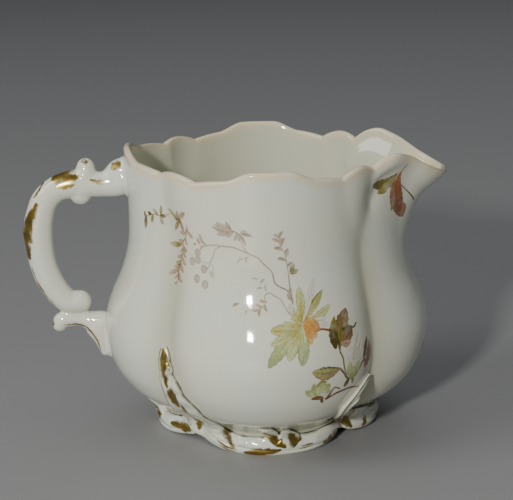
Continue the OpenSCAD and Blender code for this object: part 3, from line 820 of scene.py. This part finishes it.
class Print:
    """Flat elements of a printed sheet, laid on the body. Places are millimetres: x round the
    lobe to the right from its middle, z up from the table."""

    def __init__(self, lobe, shift=(0.0, 0.0)):
        self.lobe, self.shift = lobe, shift
        self.points, self.faces, self.colours = [], [], []
        self.layer = 0

    def lay(self, xz, lift):
        """Places as points on the body, lifted off its glaze."""
        z = xz[..., 1] + self.shift[1]
        angle = self.lobe + np.degrees((xz[..., 0] + self.shift[0]) / PRINT_R)
        return at(angle, outer_r(angle, z) + lift, z)

    def sheet(self, xz, colours):
        """A grid of places as a closed sheet, each new one a hair above the last."""
        self.layer += 1
        lift = 0.035 + 0.004 * (self.layer % 9)
        rows, columns = xz.shape[:2]
        start = len(self.points)
        self.points += list(self.lay(xz, lift).reshape(-1, 3)) + list(self.lay(xz, -0.02).reshape(-1, 3))
        self.colours += 2 * list(np.clip(colours, 0, 1).reshape(-1, 3))
        size = rows * columns
        self.faces += grid_faces(rows, columns, start=start)
        self.faces += grid_faces(rows, columns, start=start + size, flip=True)
        border = [j * columns for j in range(rows)] + [(rows - 1) * columns + i for i in range(1, columns)]
        border += [j * columns + columns - 1 for j in range(rows - 2, -1, -1)]
        border += list(range(columns - 2, 0, -1))
        for i, j in zip(border, border[1:] + border[:1]):
            self.faces.append([start + i, start + j, start + size + j, start + size + i])

    def blade(self, base, tip, width, colour, tip_colour=None, bend=0.0, belly=0.55, vein=0.35,
              edge=0.45, blunt=0.75, teeth=0.0, wash=None, line=LINE):
        """A petal or leaf from base to tip, widest at belly, with a drawn edge and vein."""
        base, tip = np.array(base, float), np.array(tip, float)
        long = np.hypot(*(tip - base))
        t = np.linspace(0, 1, int(np.clip(long * 4, 14, 52)))[:, None]
        right = np.array([0.07, 0.2, 0.4, 0.62, 0.84, 0.9, 1])
        across = np.concatenate([-right[::-1], right])[None, :]
        warp = t ** (math.log(0.5) / math.log(belly))
        half = 0.5 * width * np.sin(np.pi * np.clip(warp, 0.004, 0.996)) ** blunt
        if teeth:
            half = half * (1 + teeth * np.sin(t * long * 3.4))
        axis = (tip - base) / long
        side = np.array([-axis[1], axis[0]])
        spine = base + (tip - base) * t + side * (4 * bend * t * (1 - t))
        xz = spine[:, None, :] + side * (across * half)[..., None]
        end = colour if tip_colour is None else tip_colour
        tone = mix(np.array(colour), np.array(end), ease(0.25, 1, t)[..., None])
        tone = tone * np.ones((1, across.size, 1))
        tone = tone * (1 + 0.10 * np.sin(7 * t + 5 * across + rng.uniform(0, 6)))[..., None]
        if wash is not None:
            tone = mix(tone, np.array(wash), 0.65 * ease(0.1, 0.8, across * np.ones_like(t))[..., None])
        hatch = 0.5 + 0.5 * np.sin(4.6 * t * long - 5 * np.abs(across) + rng.uniform(0, 6))
        drawn = vein * (np.abs(across) < 0.1) * (1 - 0.6 * t) + edge * (np.abs(across) > 0.86)
        drawn = np.clip(drawn + 0.5 * vein * hatch ** 3 * (0.3 + 0.7 * np.abs(across)), 0, 0.9)
        self.sheet(xz, mix(tone, np.array(line), drawn[..., None]))

    def stroke(self, places, width, colour, end_width=None, end_colour=None):
        """A drawn line through places, tapering to end_width."""
        fine = between(places, 5)
        x, z = track(places, fine)
        dx, dz = np.gradient(x), np.gradient(z)
        length = np.hypot(dx, dz) + 1e-9
        share = fine / fine[-1]
        half = 0.5 * mix(width, width if end_width is None else end_width, share)
        off = np.column_stack([-dz / length, dx / length]) * half[:, None]
        centre = np.column_stack([x, z])
        end = colour if end_colour is None else end_colour
        tone = mix(np.array(colour), np.array(end), share[:, None, None]) * np.ones((1, 3, 1))
        self.sheet(np.stack([centre - off, centre, centre + off], axis=1), tone)

    def blades(self, rows, **style):
        """Blades of one style. A row is base, tip, width, colour, tip colour and, if any, bend."""
        for row in rows:
            self.blade(*row, **style)

    def leaflets(self, stem, count, size, colour, line=VINE_DARK, spread=55.0):
        """Paired leaflets along a stem of places, pointing to its end."""
        last = len(stem) - 1
        for k in range(count):
            s = last * mix(0.15, 1.0, k / max(count - 1, 1))
            here, ahead, back = (np.array(track(stem, t)) for t in (s, min(s + 0.2, last), max(s - 0.2, 0)))
            heading = math.atan2(*(ahead - back)[::-1])
            way = math.radians(spread * (1 if k % 2 else -1) * rng.uniform(0.7, 1.2)) + heading
            reach = size * rng.uniform(0.8, 1.2)
            tip = here + reach * np.array([math.cos(way), math.sin(way)])
            shade = colour * rng.uniform(0.9, 1.12)
            self.blade(here, tip, 0.36 * reach, shade, bend=0.12 * reach * (-1) ** k,
                       vein=0.5, edge=0.25, line=line)

    def make(self, name):
        return new_piece(name, self.points, self.faces, enamel(name + "_enamel"),
                         colours=np.array(self.colours), sharp=40)


def chrysanthemum(p):
    """The large pale flower with its orange calyx."""
    p.blades([((8.0, 46.8), *ray) for ray in [
        ((-1.6, 34.6), 3.4, PALE_GREEN, GREY_GREEN, -0.6),
        ((3.8, 36.4), 3.2, PALE_GREEN, PALE_GREEN, -0.3),
        ((7.4, 34.6), 3.2, PALE_GREEN, GREY_GREEN, 0.3),
        ((-1.0, 41.2), 2.6, YELLOW_GREEN, PALE_GREEN, 0.3),
        ((-0.9, 45.3), 3.4, PALE_GREEN, YELLOW_GREEN, 0.5),
        ((4.9, 52.6), 2.0, YELLOW_GREEN, WHITE_PETAL, 0.2),
        ((8.2, 57.3), 2.7, YELLOW_GREEN, PALE_GREEN, -0.2),
        ((13.2, 59.3), 1.9, WHITE_PETAL, WHITE_PETAL, -0.4),
        ((15.9, 55.6), 1.9, YELLOW_GREEN, GREY_GREEN, -0.3),
        ((18.0, 51.0), 2.2, YELLOW_GREEN, PALE_GREEN, -0.5),
        ((15.9, 47.8), 2.0, PALE_GREEN, WHITE_PETAL, -0.2),
        ((16.4, 45.5), 1.8, WHITE_PETAL, WHITE_PETAL, 0.3),
    ]], belly=0.62, vein=0.4, edge=0.5, blunt=0.62, teeth=0.07, line=DARK_OLIVE)
    p.blades([((7.4, 46.0), tip, width, YELLOW_GREEN, PALE_GREEN) for tip, width in [
        ((3.2, 40.6), 2.0), ((1.6, 43.3), 1.8), ((5.6, 39.4), 1.9), ((2.6, 47.6), 1.6), ((5.2, 50.0), 1.5),
    ]], belly=0.6, vein=0.5, edge=0.4, line=OLIVE)
    p.stroke([(8.2, 54.2), (8.1, 51.5), (8.4, 48.6)], 0.9, OLIVE, 0.4)
    p.stroke([(10.2, 50.2), (13.0, 53.6), (15.2, 55.2)], 0.8, OLIVE, 0.3)
    for end in [(4.6, 43.0), (5.4, 44.6), (4.4, 46.4), (6.0, 42.0), (5.0, 48.4)]:
        p.stroke([(7.6, 46.4), ((7.6 + end[0]) / 2 + 0.3, (46.4 + end[1]) / 2), end], 0.35, OLIVE, 0.2)
    p.blade((8.3, 49.6), (9.6, 47.0), 1.7, OLIVE, ink(150, 112, 40), vein=0.2, edge=0.3, blunt=0.5)
    p.blade((8.2, 47.8), (13.0, 44.4), 3.3, ORANGE, ink(166, 124, 70), 0.5,
            vein=0.25, edge=0.35, blunt=0.45, line=RUST)
    p.blade((8.3, 46.4), (10.2, 40.8), 3.3, ORANGE, ink(186, 156, 104), 0.3,
            vein=0.2, edge=0.3, blunt=0.5, teeth=0.10, line=RUST)
    p.blade((8.6, 45.6), (12.2, 42.6), 2.8, ink(180, 138, 80), ORANGE, vein=0.3, edge=0.25, line=RUST)
    p.blade((8.2, 44.8), (8.3, 41.6), 1.6, ink(188, 158, 110), ORANGE, vein=0.2, edge=0.25, line=RUST)
    p.stroke([(12.4, 44.5), (13.9, 44.6), (15.4, 44.2), (16.8, 43.6)], 0.55, RUST, 0.75, RED_BROWN)


def dark_leaves(p):
    """The shaded leaves to the right of the flower and their stems."""
    p.blade((18.8, 37.2), (23.6, 49.0), 5.0, OLIVE, ink(138, 116, 92), 1.0,
            belly=0.6, teeth=0.09, vein=0.7, edge=0.6, wash=BROWN)
    p.blade((17.6, 38.0), (18.6, 47.6), 3.0, DARK_OLIVE, OLIVE, 0.7, belly=0.45, teeth=0.08,
            vein=0.5, edge=0.55)
    p.blade((20.0, 39.6), (24.6, 43.6), 3.4, ink(138, 112, 88), BROWN, -0.6,
            teeth=0.09, vein=0.6, edge=0.55)
    p.blade((19.4, 39.4), (23.4, 39.0), 2.4, PINK_BROWN, ink(170, 140, 116), -0.3, teeth=0.06)
    p.stroke([(20.6, 43.2), (23.4, 43.6), (25.4, 42.9), (27.0, 43.9)], 0.9, DARK_OLIVE, 0.4)
    p.stroke([(17.4, 44.2), (18.4, 41.6), (19.0, 38.2)], 1.0, DARK_OLIVE, 0.5)
    p.stroke([(16.8, 43.6), (18.0, 42.0), (19.0, 39.4), (19.0, 36.9)], 0.4, LINE)
    p.stroke([(19.0, 36.9), (19.9, 34.8), (20.4, 31.7), (21.6, 28.4)], 0.55, BROWN, 0.45, OLIVE)
    p.blade((19.2, 31.8), (10.0, 32.2), 4.4, ink(140, 136, 92), ink(150, 150, 104), 0.9,
            belly=0.56, teeth=0.06, vein=0.6, edge=0.55, wash=ink(150, 118, 96))
    p.stroke([(18.6, 31.9), (15.4, 32.8), (12.2, 32.8)], 0.5, DARK_OLIVE, 0.2)
    p.stroke([(19.0, 31.5), (20.4, 29.8), (21.6, 28.0), (22.8, 27.1)], 0.75, BROWN, 0.6, DARK_OLIVE)
    p.blades([((22.8, 27.4), (21.0, 24.8), 1.5, DARK_OLIVE, OLIVE),
              ((24.4, 27.2), (24.6, 24.9), 1.1, OLIVE, GREY_GREEN)], vein=0.3, blunt=0.5)
    p.stroke([(23.4, 26.8), (25.4, 27.8), (27.2, 29.6), (28.6, 31.2), (30.0, 31.4)], 0.95, DARK_OLIVE, 0.5)
    p.blade((30.4, 28.6), (33.0, 36.8), 3.3, RED_BROWN, ink(140, 92, 62), -0.9,
            belly=0.45, teeth=0.07, vein=0.45, edge=0.3, line=BROWN)
    p.blade((29.2, 31.2), (31.8, 38.2), 1.9, DARK_OLIVE, BROWN, 0.4, teeth=0.08, vein=0.3)
    p.blade((30.2, 28.4), (31.0, 31.6), 2.4, RUST, RED_BROWN, vein=0.2, edge=0.2, line=BROWN)


def white_bud(p):
    """A closed white flower in a green calyx, drawn mostly in line."""
    cup = (23.6, 31.0)
    p.blades([(cup, tip, width, WHITE_PETAL, ink(194, 192, 184), bend) for tip, width, bend in [
        ((22.8, 38.4), 2.6, 0.4), ((25.6, 42.4), 3.0, 0.2), ((28.6, 40.6), 2.8, -0.5),
        ((29.0, 36.0), 2.4, -0.7),
    ]], belly=0.6, vein=0.18, edge=0.32, blunt=0.55, line=PINK_BROWN)
    p.stroke([(24.0, 33.0), (25.2, 37.0), (27.0, 40.4)], 0.25, PINK_BROWN)
    p.stroke([(25.4, 33.0), (26.8, 36.4), (28.0, 38.4)], 0.25, PINK_BROWN)
    p.blades([((23.8, 26.8), (22.4, 33.0), 2.2, GREY_GREEN, PALE_GREEN, 0.4),
              ((24.2, 26.8), (26.4, 32.4), 2.4, GREY_GREEN, PALE_GREEN, -0.6)],
             vein=0.4, blunt=0.5, line=OLIVE)
    p.blade((24.0, 26.4), (24.3, 33.2), 2.3, PALE_GREEN, GREY_GREEN, vein=0.5, blunt=0.6, line=OLIVE)
    p.stroke([(22.6, 31.0), (23.6, 31.9), (24.8, 32.4)], 0.6, DARK_OLIVE, 0.3)


def small_bud(p):
    """A half-open green bud on a red stem."""
    p.blades([((12.4, 23.4), tip, width, colour, GREY_GREEN, 0.2) for tip, width, colour in [
        ((8.4, 26.3), 2.2, PALE_GREEN), ((10.6, 28.4), 2.2, GREY_GREEN), ((13.4, 29.2), 3.0, PALE_GREEN),
        ((15.8, 27.4), 2.8, PALE_GREEN), ((16.2, 25.2), 2.0, WHITE_PETAL),
    ]], belly=0.6, vein=0.35, edge=0.4, blunt=0.6, line=OLIVE)
    p.stroke([(11.6, 27.2), (13.0, 28.6), (14.6, 28.3)], 0.8, OLIVE, 0.5)
    p.blade((10.2, 23.0), (14.2, 22.6), 1.5, RED_BROWN, BROWN, 0.3, vein=0.2, blunt=0.5, line=DARK_OLIVE)
    p.blade((13.2, 23.2), (14.1, 20.8), 1.0, BROWN, DARK_OLIVE, vein=0.2, blunt=0.5)
    p.stroke([(14.9, 21.9), (16.0, 23.4), (16.8, 24.8), (17.5, 25.6), (18.6, 25.2), (19.6, 24.6)],
             0.85, RED_BROWN, 0.45)
    p.stroke([(15.0, 22.0), (17.9, 23.2), (21.0, 23.7), (24.2, 23.7), (28.6, 22.6)],
             0.85, RED_BROWN, 0.5, BROWN)


def vine(p):
    """The faint grey-brown vine over the flower, with its leaves and berries."""
    main = [(5.9, 52.4), (5.8, 54.2), (4.6, 56.4), (2.4, 57.6), (0.9, 58.8), (0.2, 61.6), (-0.6, 62.8),
            (-2.4, 64.4), (-4.2, 66.3), (-6.1, 67.2), (-9.9, 68.7), (-12.5, 69.4), (-16.0, 69.5),
            (-19.6, 69.5), (-23.2, 68.6)]
    p.stroke(main, 0.5, VINE_DARK, 0.5, VINE)
    p.stroke([(-16.0, 69.5), (-18.2, 68.4), (-19.3, 66.1), (-20.1, 64.2), (-21.5, 61.8)], 0.4, VINE)
    p.stroke([(-20.0, 64.4), (-22.0, 63.6), (-24.6, 63.9)], 0.35, VINE, 0.2)
    p.stroke([(-19.6, 63.6), (-19.2, 62.0), (-19.8, 60.8)], 0.3, VINE, 0.2)
    for centre in [(-22.7, 61.7), (-25.4, 58.5), (-21.9, 57.2), (-25.5, 66.4), (-25.4, 64.2),
                   (-28.0, 63.4)]:
        berry(p, centre)
    p.blade((-20.6, 61.4), (-18.4, 59.4), 1.6, LILAC, WHITE_PETAL, vein=0.2, edge=0.3, line=VINE)
    p.stroke([(-7.4, 67.9), (-8.8, 69.6), (-9.8, 72.0), (-11.2, 74.0)], 0.35, VINE)
    p.blades([(*row, LILAC, 0.2) for row in [
        ((-11.4, 74.2), (-19.6, 75.2), 1.9, PINK_BROWN), ((-12.0, 74.4), (-18.0, 76.8), 1.5, VINE),
        ((-12.4, 74.6), (-14.6, 77.2), 1.3, PINK_BROWN), ((-13.0, 74.2), (-17.8, 73.0), 1.5, PINK_BROWN),
        ((-12.0, 74.0), (-14.6, 72.6), 1.3, VINE), ((-11.0, 73.8), (-11.8, 71.4), 1.2, LILAC),
        ((-10.6, 73.6), (-10.0, 71.2), 1.1, VINE), ((-9.8, 73.4), (-8.0, 69.8), 1.0, VINE_DARK),
        ((-9.6, 73.6), (-5.8, 73.0), 1.2, VINE_DARK), ((-9.9, 73.7), (-7.6, 74.6), 1.0, VINE),
    ]], vein=0.4, edge=0.3, line=VINE_DARK)
    p.stroke([(-9.4, 72.9), (-11.2, 74.1), (-14.6, 75.2), (-18.6, 76.0)], 0.4, VINE_DARK, 0.25)
    sprig = [(5.8, 54.8), (5.3, 58.6), (5.2, 61.0), (4.7, 64.6), (4.1, 67.6), (2.8, 69.8), (2.4, 72.2)]
    p.stroke(sprig, 0.4, VINE_DARK, 0.3, VINE)
    p.leaflets(sprig[2:], 7, 2.9, PINK_BROWN)
    p.leaflets(sprig[3:], 4, 2.2, LILAC, spread=40)
    p.blades([((5.6, 61.2), (8.4, 62.4), 1.5, OLIVE, VINE), ((5.6, 61.6), (7.2, 64.4), 1.4, BROWN, VINE)],
             vein=0.4)
    low = [(4.8, 49.6), (3.4, 52.2), (2.5, 53.9), (0.8, 55.0), (-1.0, 56.0), (-2.4, 55.0), (-2.0, 53.4),
           (-3.4, 51.6), (-6.0, 51.2), (-8.6, 51.8)]
    p.stroke(low, 0.4, VINE, 0.3, PINK_BROWN)
    p.leaflets([(-1.2, 54.2), (-2.6, 52.4), (-4.2, 51.0)], 5, 2.4, PINK_BROWN)
    p.leaflets([(-4.8, 51.6), (-7.4, 51.4), (-9.8, 52.8)], 4, 2.1, PINK_BROWN)
    p.leaflets([(-1.2, 56.0), (-3.0, 57.6), (-4.2, 59.8)], 4, 2.2, LILAC)
    p.blades([((5.6, 54.6), (5.4, 57.4), 1.1, LILAC, PINK_BROWN),
              ((5.9, 53.4), (4.4, 55.6), 1.2, PINK_BROWN, LILAC)], vein=0.3)
    p.leaflets([(-6.6, 67.2), (-7.8, 66.2), (-9.6, 65.8)], 4, 1.7, VINE, spread=35)
    p.leaflets([(-21.0, 69.2), (-23.0, 69.0), (-25.8, 69.2)], 4, 2.2, PINK_BROWN, spread=45)
    p.blade((-23.4, 69.4), (-24.7, 72.4), 1.2, VINE, LILAC, vein=0.3)


def berry(p, centre):
    """A small round berry, drawn as a shaded ring."""
    t = np.linspace(0, 2 * np.pi, 13)
    radii = np.array([0.15, 0.75, 1.0, 1.3])
    xz = np.stack([centre[0] + np.outer(np.sin(t), radii), centre[1] + np.outer(np.cos(t), radii)], -1)
    tone = np.stack([VINE, LILAC, VINE, VINE_DARK])[None] * np.ones((13, 1, 1))
    p.sheet(xz[:, ::-1], tone[:, ::-1])


def side_sprig(p):
    """Pinkish leaflets that hang over the handle-side lobe."""
    row = [(-39.0, 76.6), (-41.6, 75.8), (-43.8, 75.4), (-46.2, 75.6), (-48.6, 75.0), (-50.6, 74.2)]
    p.stroke(row, 0.35, PINK_BROWN, 0.3, OLIVE)
    p.blades([
        ((-43.2, 75.6), (-42.6, 79.0), 1.3, OLIVE, PINK_BROWN),
        ((-43.4, 75.4), (-42.2, 72.8), 1.7, GREY_GREEN, PINK_BROWN),
        ((-43.6, 75.6), (-40.6, 75.6), 1.3, BROWN, OLIVE),
        ((-44.0, 75.4), (-46.9, 77.4), 1.1, PINK_BROWN, VINE),
        ((-46.8, 75.6), (-47.8, 72.6), 1.4, OLIVE, GREY_GREEN),
        ((-47.4, 75.3), (-49.6, 75.9), 1.2, DARK_OLIVE, BROWN)], vein=0.4)
    p.blade((-50.6, 75.0), (-51.4, 70.2), 1.8, BROWN, PINK_BROWN, vein=0.6)
    p.blade((-51.0, 73.6), (-51.6, 75.9), 1.1, OLIVE, BROWN, vein=0.4)
    p.blades([((-33.4, 75.8), tip, width, tone, PINK_BROWN, 0.2) for tip, width, tone in [
        ((-39.0, 78.6), 1.5, GREY_GREEN), ((-34.0, 78.6), 1.4, PINK_BROWN),
        ((-30.2, 78.4), 1.8, ink(164, 142, 118)), ((-36.4, 72.0), 1.6, OLIVE),
        ((-31.8, 71.8), 1.5, PINK_BROWN), ((-36.0, 76.2), 1.2, BROWN),
    ]], vein=0.5, edge=0.3, line=BROWN)
    p.blade((-33.8, 76.6), (-32.6, 74.4), 1.3, BROWN, OLIVE, vein=0.2)
    down = [(-30.2, 74.6), (-29.8, 72.8), (-31.0, 70.6), (-32.6, 68.2), (-32.8, 65.6), (-33.4, 63.4),
            (-34.2, 61.0), (-35.0, 58.6), (-34.6, 56.4)]
    p.stroke(down, 0.4, PINK_BROWN, 0.35, BROWN)
    p.leaflets(down[:4], 6, 3.0, ink(164, 144, 122), line=BROWN)
    p.leaflets(down[2:7], 9, 3.1, PINK_BROWN, line=BROWN)
    p.leaflets(down[5:], 7, 2.7, ink(158, 140, 118), line=BROWN)
    p.blade((-32.8, 68.0), (-39.4, 67.4), 1.8, OLIVE, GREY_GREEN, bend=0.4, vein=0.6, line=BROWN)
    p.blade((-34.2, 62.6), (-35.6, 60.0), 1.6, DARK_OLIVE, OLIVE, vein=0.3)
    p.blade((-34.8, 59.2), (-39.2, 57.6), 1.5, PINK_BROWN, VINE, bend=-0.3, vein=0.5)


def spout_leaf(p):
    """The rust leaf that hangs under the lip beside the spout, and its olive neighbour."""
    p.blade((-19.4, 87.6), (-14.2, 70.6), 5.4, RUST, ink(132, 84, 42), bend=-1.7, belly=0.62, vein=0.55,
            edge=0.35, blunt=0.8, teeth=0.05, line=RED_BROWN)
    p.blade((-20.6, 84.8), (-18.6, 73.4), 3.0, ink(150, 108, 76), ink(138, 112, 82), bend=-0.9, belly=0.6,
            vein=0.35, edge=0.3, teeth=0.07, line=RED_BROWN)
    p.blade((-19.6, 79.6), (-20.6, 73.8), 1.8, PINK_BROWN, OLIVE, bend=0.3, teeth=0.1, vein=0.3)
    p.blade((-16.0, 76.0), (-13.0, 70.4), 3.4, ink(134, 86, 48), RUST, bend=0.4, vein=0.3, edge=0.25,
            line=RED_BROWN)
    p.blade((-20.4, 86.4), (-30.8, 83.6), 3.2, OLIVE, DARK_OLIVE, bend=1.6, belly=0.62, vein=0.55,
            edge=0.4, teeth=0.08)
    p.blade((-22.6, 84.4), (-27.4, 80.4), 2.8, ink(150, 148, 92), OLIVE, bend=0.8, vein=0.45, edge=0.4)
    p.blade((-20.4, 85.8), (-22.6, 81.4), 1.9, OLIVE, PINK_BROWN, bend=-0.2, vein=0.4, edge=0.4, teeth=0.1)
    p.stroke([(-19.4, 87.4), (-18.9, 89.0)], 0.5, RUST, 0.2)
    p.stroke([(-17.1, 81.6), (-14.8, 79.8), (-12.0, 77.4), (-9.5, 75.3)], 0.25, DARK_OLIVE, 0.4, BROWN)


def make_prints():
    """The whole printed decoration: the spray and sprigs on the front, and a smaller spray behind."""
    behind = (-6.0, 1.0)
    for name, draw, lobe, shift in [
            ("vine", vine, FRONT, (0, 0)), ("side_sprig", side_sprig, FRONT, (0, 0)),
            ("flower", chrysanthemum, FRONT, (0, 0)), ("white_bud", white_bud, FRONT, (0, 0)),
            ("dark_leaves", dark_leaves, FRONT, (0, 0)), ("small_bud", small_bud, FRONT, (0, 0)),
            ("spout_leaf", spout_leaf, SPOUT, (0, 0)), ("back_flower", chrysanthemum, BACK, behind),
            ("back_leaves", dark_leaves, BACK, behind), ("back_vine", vine, BACK, behind)]:
        sheet = Print(lobe, shift)
        draw(sheet)
        sheet.make("print_" + name)


# ---- outlines
def make_outlines():
    """Fine brown-gold lines pencilled along the moulded edges of the foot."""
    points, faces, colours = [], [], []
    per_degree = math.radians(1) * SWEEP_R

    def lay(left, right, inward):
        """A closed ribbon between two tracks of points, its back a little inside the surface."""
        start = len(points)
        for a, b, down in zip(left, right, inward):
            points.extend([a, b, b - down, a - down])
            colours.extend([mix(PENCIL, DARK_OLIVE, rng.uniform(0, 0.6))] * 4)
        faces.extend(grid_faces(len(left), 4, closed=True, start=start))
        faces.append([start + 3, start + 2, start + 1, start])
        end = start + 4 * (len(left) - 1)
        faces.append([end, end + 1, end + 2, end + 3])

    def beside(shape, lobe, last):
        """On the skin, hugging the upper edge of a moulding."""
        s = np.linspace(0.05, last, int(last * 10))
        a, z = branch_edge(shape, "upper", s)
        other_a, other_z = branch_edge(shape, "lower", s)
        off = np.column_stack([(a - other_a) * per_degree, z - other_z])
        off /= np.linalg.norm(off, axis=1)[:, None]
        tracks = []
        for push in (-0.03, LINE_W):
            angle, height = lobe + a + push * off[:, 0] / per_degree, z + push * off[:, 1]
            tracks.append(at(angle, skin_r(angle, height) + 0.07, height))
        lay(tracks[0], tracks[1], at(lobe + a, 0.1 + 0 * a, 0 * z))

    def along(shape, lobe, relief, first, last, u0):
        """On the moulding itself, near its lower edge."""
        s = np.linspace(first, last, int((last - first) * 10))
        low_a, low_z = branch_edge(shape, "lower", s)
        top_a, top_z = branch_edge(shape, "upper", s)
        width = np.hypot((top_a - low_a) * per_degree, top_z - low_z)
        tracks = []
        for u in (u0, u0 + LINE_W / np.maximum(width, 1.0)):
            angle, height = branch_place(shape, lobe, s, u)
            tracks.append(at(angle, skin_r(angle, height) + BED + 0.05 + relief(shape, s, u), height))
        lay(tracks[0], tracks[1], at(lobe + low_a, 0.12 + 0 * low_a, 0 * low_z))

    for lobe, shape in ((FRONT, TALL), (BACK, TALL), (HANDLE_SIDE, LOW), (SPOUT, LOW)):
        beside(shape, lobe, len(shape["upper_a"]) - 1.1)
        along(shape, lobe, branch_relief, 0.1, 7.2, 0.05)
        beside(LEAF, lobe, len(LEAF["upper_a"]) - 1.1)
    return new_piece("foot_outlines", np.array(points), faces, enamel("outline_enamel", 0.3),
                     colours=np.array(colours))


# ---- stage
FLOOR_REACH = 6.0     # metres
FLOOR_GREY = (0.27, 0.27, 0.275, 1.0)
# name, place, side of the square, watts, tint
SOFTBOXES = [("key", (-0.38, -0.97, 0.44), 0.085, 10, (1.0, 0.985, 0.955)),
             ("window", (-1.1, -0.35, 1.05), 0.7, 6.5, (1.0, 0.99, 0.97)),
             ("top", (0.25, 0.45, 1.4), 1.7, 5.5, (0.97, 0.985, 1.0))]
LIT_POINT = (0.0, 0.0, 0.05)
AMBIENT, AMBIENT_STRENGTH = (0.80, 0.83, 0.86, 1.0), 0.12
# the camera as it was fitted to the photograph: degrees, metres, and the lens in millimetres
CAMERA_AZIMUTH, CAMERA_ELEVATION, CAMERA_ROLL = -2.05, 14.61, -1.03
CAMERA_TARGET, CAMERA_DISTANCE = (-0.00287, 0.0, 0.05743), 0.52637
SENSOR, LENS = 36.0, 112.98


def make_floor():
    mesh = bpy.data.meshes.new("floor")
    corners = [(-1, -1), (1, -1), (1, 1), (-1, 1)]
    mesh.from_pydata([(x * FLOOR_REACH, y * FLOOR_REACH, 0) for x, y in corners], [], [[0, 1, 2, 3]])
    m, shader = new_material("pale_floor")
    shader.inputs["Base Color"].default_value = FLOOR_GREY
    shader.inputs["Roughness"].default_value = 0.55
    mesh.materials.append(m)
    floor = bpy.data.objects.new("floor", mesh)
    bpy.context.scene.collection.objects.link(floor)


def aim(thing, target):
    """Turns a light towards target."""
    way = Vector(target) - thing.location
    thing.rotation_mode = "QUATERNION"
    thing.rotation_quaternion = way.to_track_quat("-Z", "Y")


def make_lights():
    for name, place, size, power, tint in SOFTBOXES:
        data = bpy.data.lights.new(name, "AREA")
        data.shape = "RECTANGLE"
        data.size = data.size_y = size
        data.energy, data.color = power, tint
        light = bpy.data.objects.new(name, data)
        light.location = place
        bpy.context.scene.collection.objects.link(light)
        aim(light, LIT_POINT)
    world = bpy.data.worlds.new("studio")
    world.use_nodes = True
    background = world.node_tree.nodes["Background"].inputs
    background[0].default_value, background[1].default_value = AMBIENT, AMBIENT_STRENGTH
    bpy.context.scene.world = world


def make_camera():
    """A long lens a little above the rim, square to the front lobe."""
    azimuth, elevation, roll = map(math.radians, (CAMERA_AZIMUTH, CAMERA_ELEVATION, CAMERA_ROLL))
    back = Vector((math.sin(azimuth) * math.cos(elevation), -math.cos(azimuth) * math.cos(elevation),
                   math.sin(elevation)))
    right = (-back).cross(Vector((0, 0, 1))).normalized()
    up = right.cross(-back)
    across = right * math.cos(roll) + up * math.sin(roll)
    rise = up * math.cos(roll) - right * math.sin(roll)
    data = bpy.data.cameras.new("camera")
    data.sensor_width, data.lens = SENSOR, LENS
    data.clip_start, data.clip_end = 0.01, 50
    camera = bpy.data.objects.new("camera", data)
    bpy.context.scene.collection.objects.link(camera)
    camera.rotation_mode = "QUATERNION"
    camera.rotation_quaternion = Matrix((across, rise, back)).transposed().to_quaternion()
    camera.location = Vector(CAMERA_TARGET) + back * CAMERA_DISTANCE
    bpy.context.scene.camera = camera


# ---- assembly
make_body()
make_foot_ring()
relief_glaze = gilded_glaze("relief_glaze", 0.45)
for side, lobe_angle, edges, gold in [
        ("front", FRONT, TALL, TALL_GILT), ("back", BACK, TALL, TALL_GILT),
        ("handle", HANDLE_SIDE, LOW, LOW_GILT), ("spout", SPOUT, LOW, LOW_GILT)]:
    make_branch("jug_branch_" + side, lobe_angle, edges, branch_relief, gold, relief_glaze,
                ["foot_branch_" + side])
    make_branch("jug_leaf_" + side, lobe_angle, LEAF, leaf_relief, LEAF_GILT, relief_glaze)
make_handle()
make_slip("jug_top_slip", "handle_top_slip", ARM_Z + 0.9, ARM_Z + 3.7, 4.7, 1.3, 1.5)
make_slip("jug_base_slip", "handle_base_slip", ARM_Z - 55.4, ARM_Z - 47.2, 3.2, 1.2, 1.1)
make_prints()
make_outlines()
make_floor()
make_lights()
make_camera()
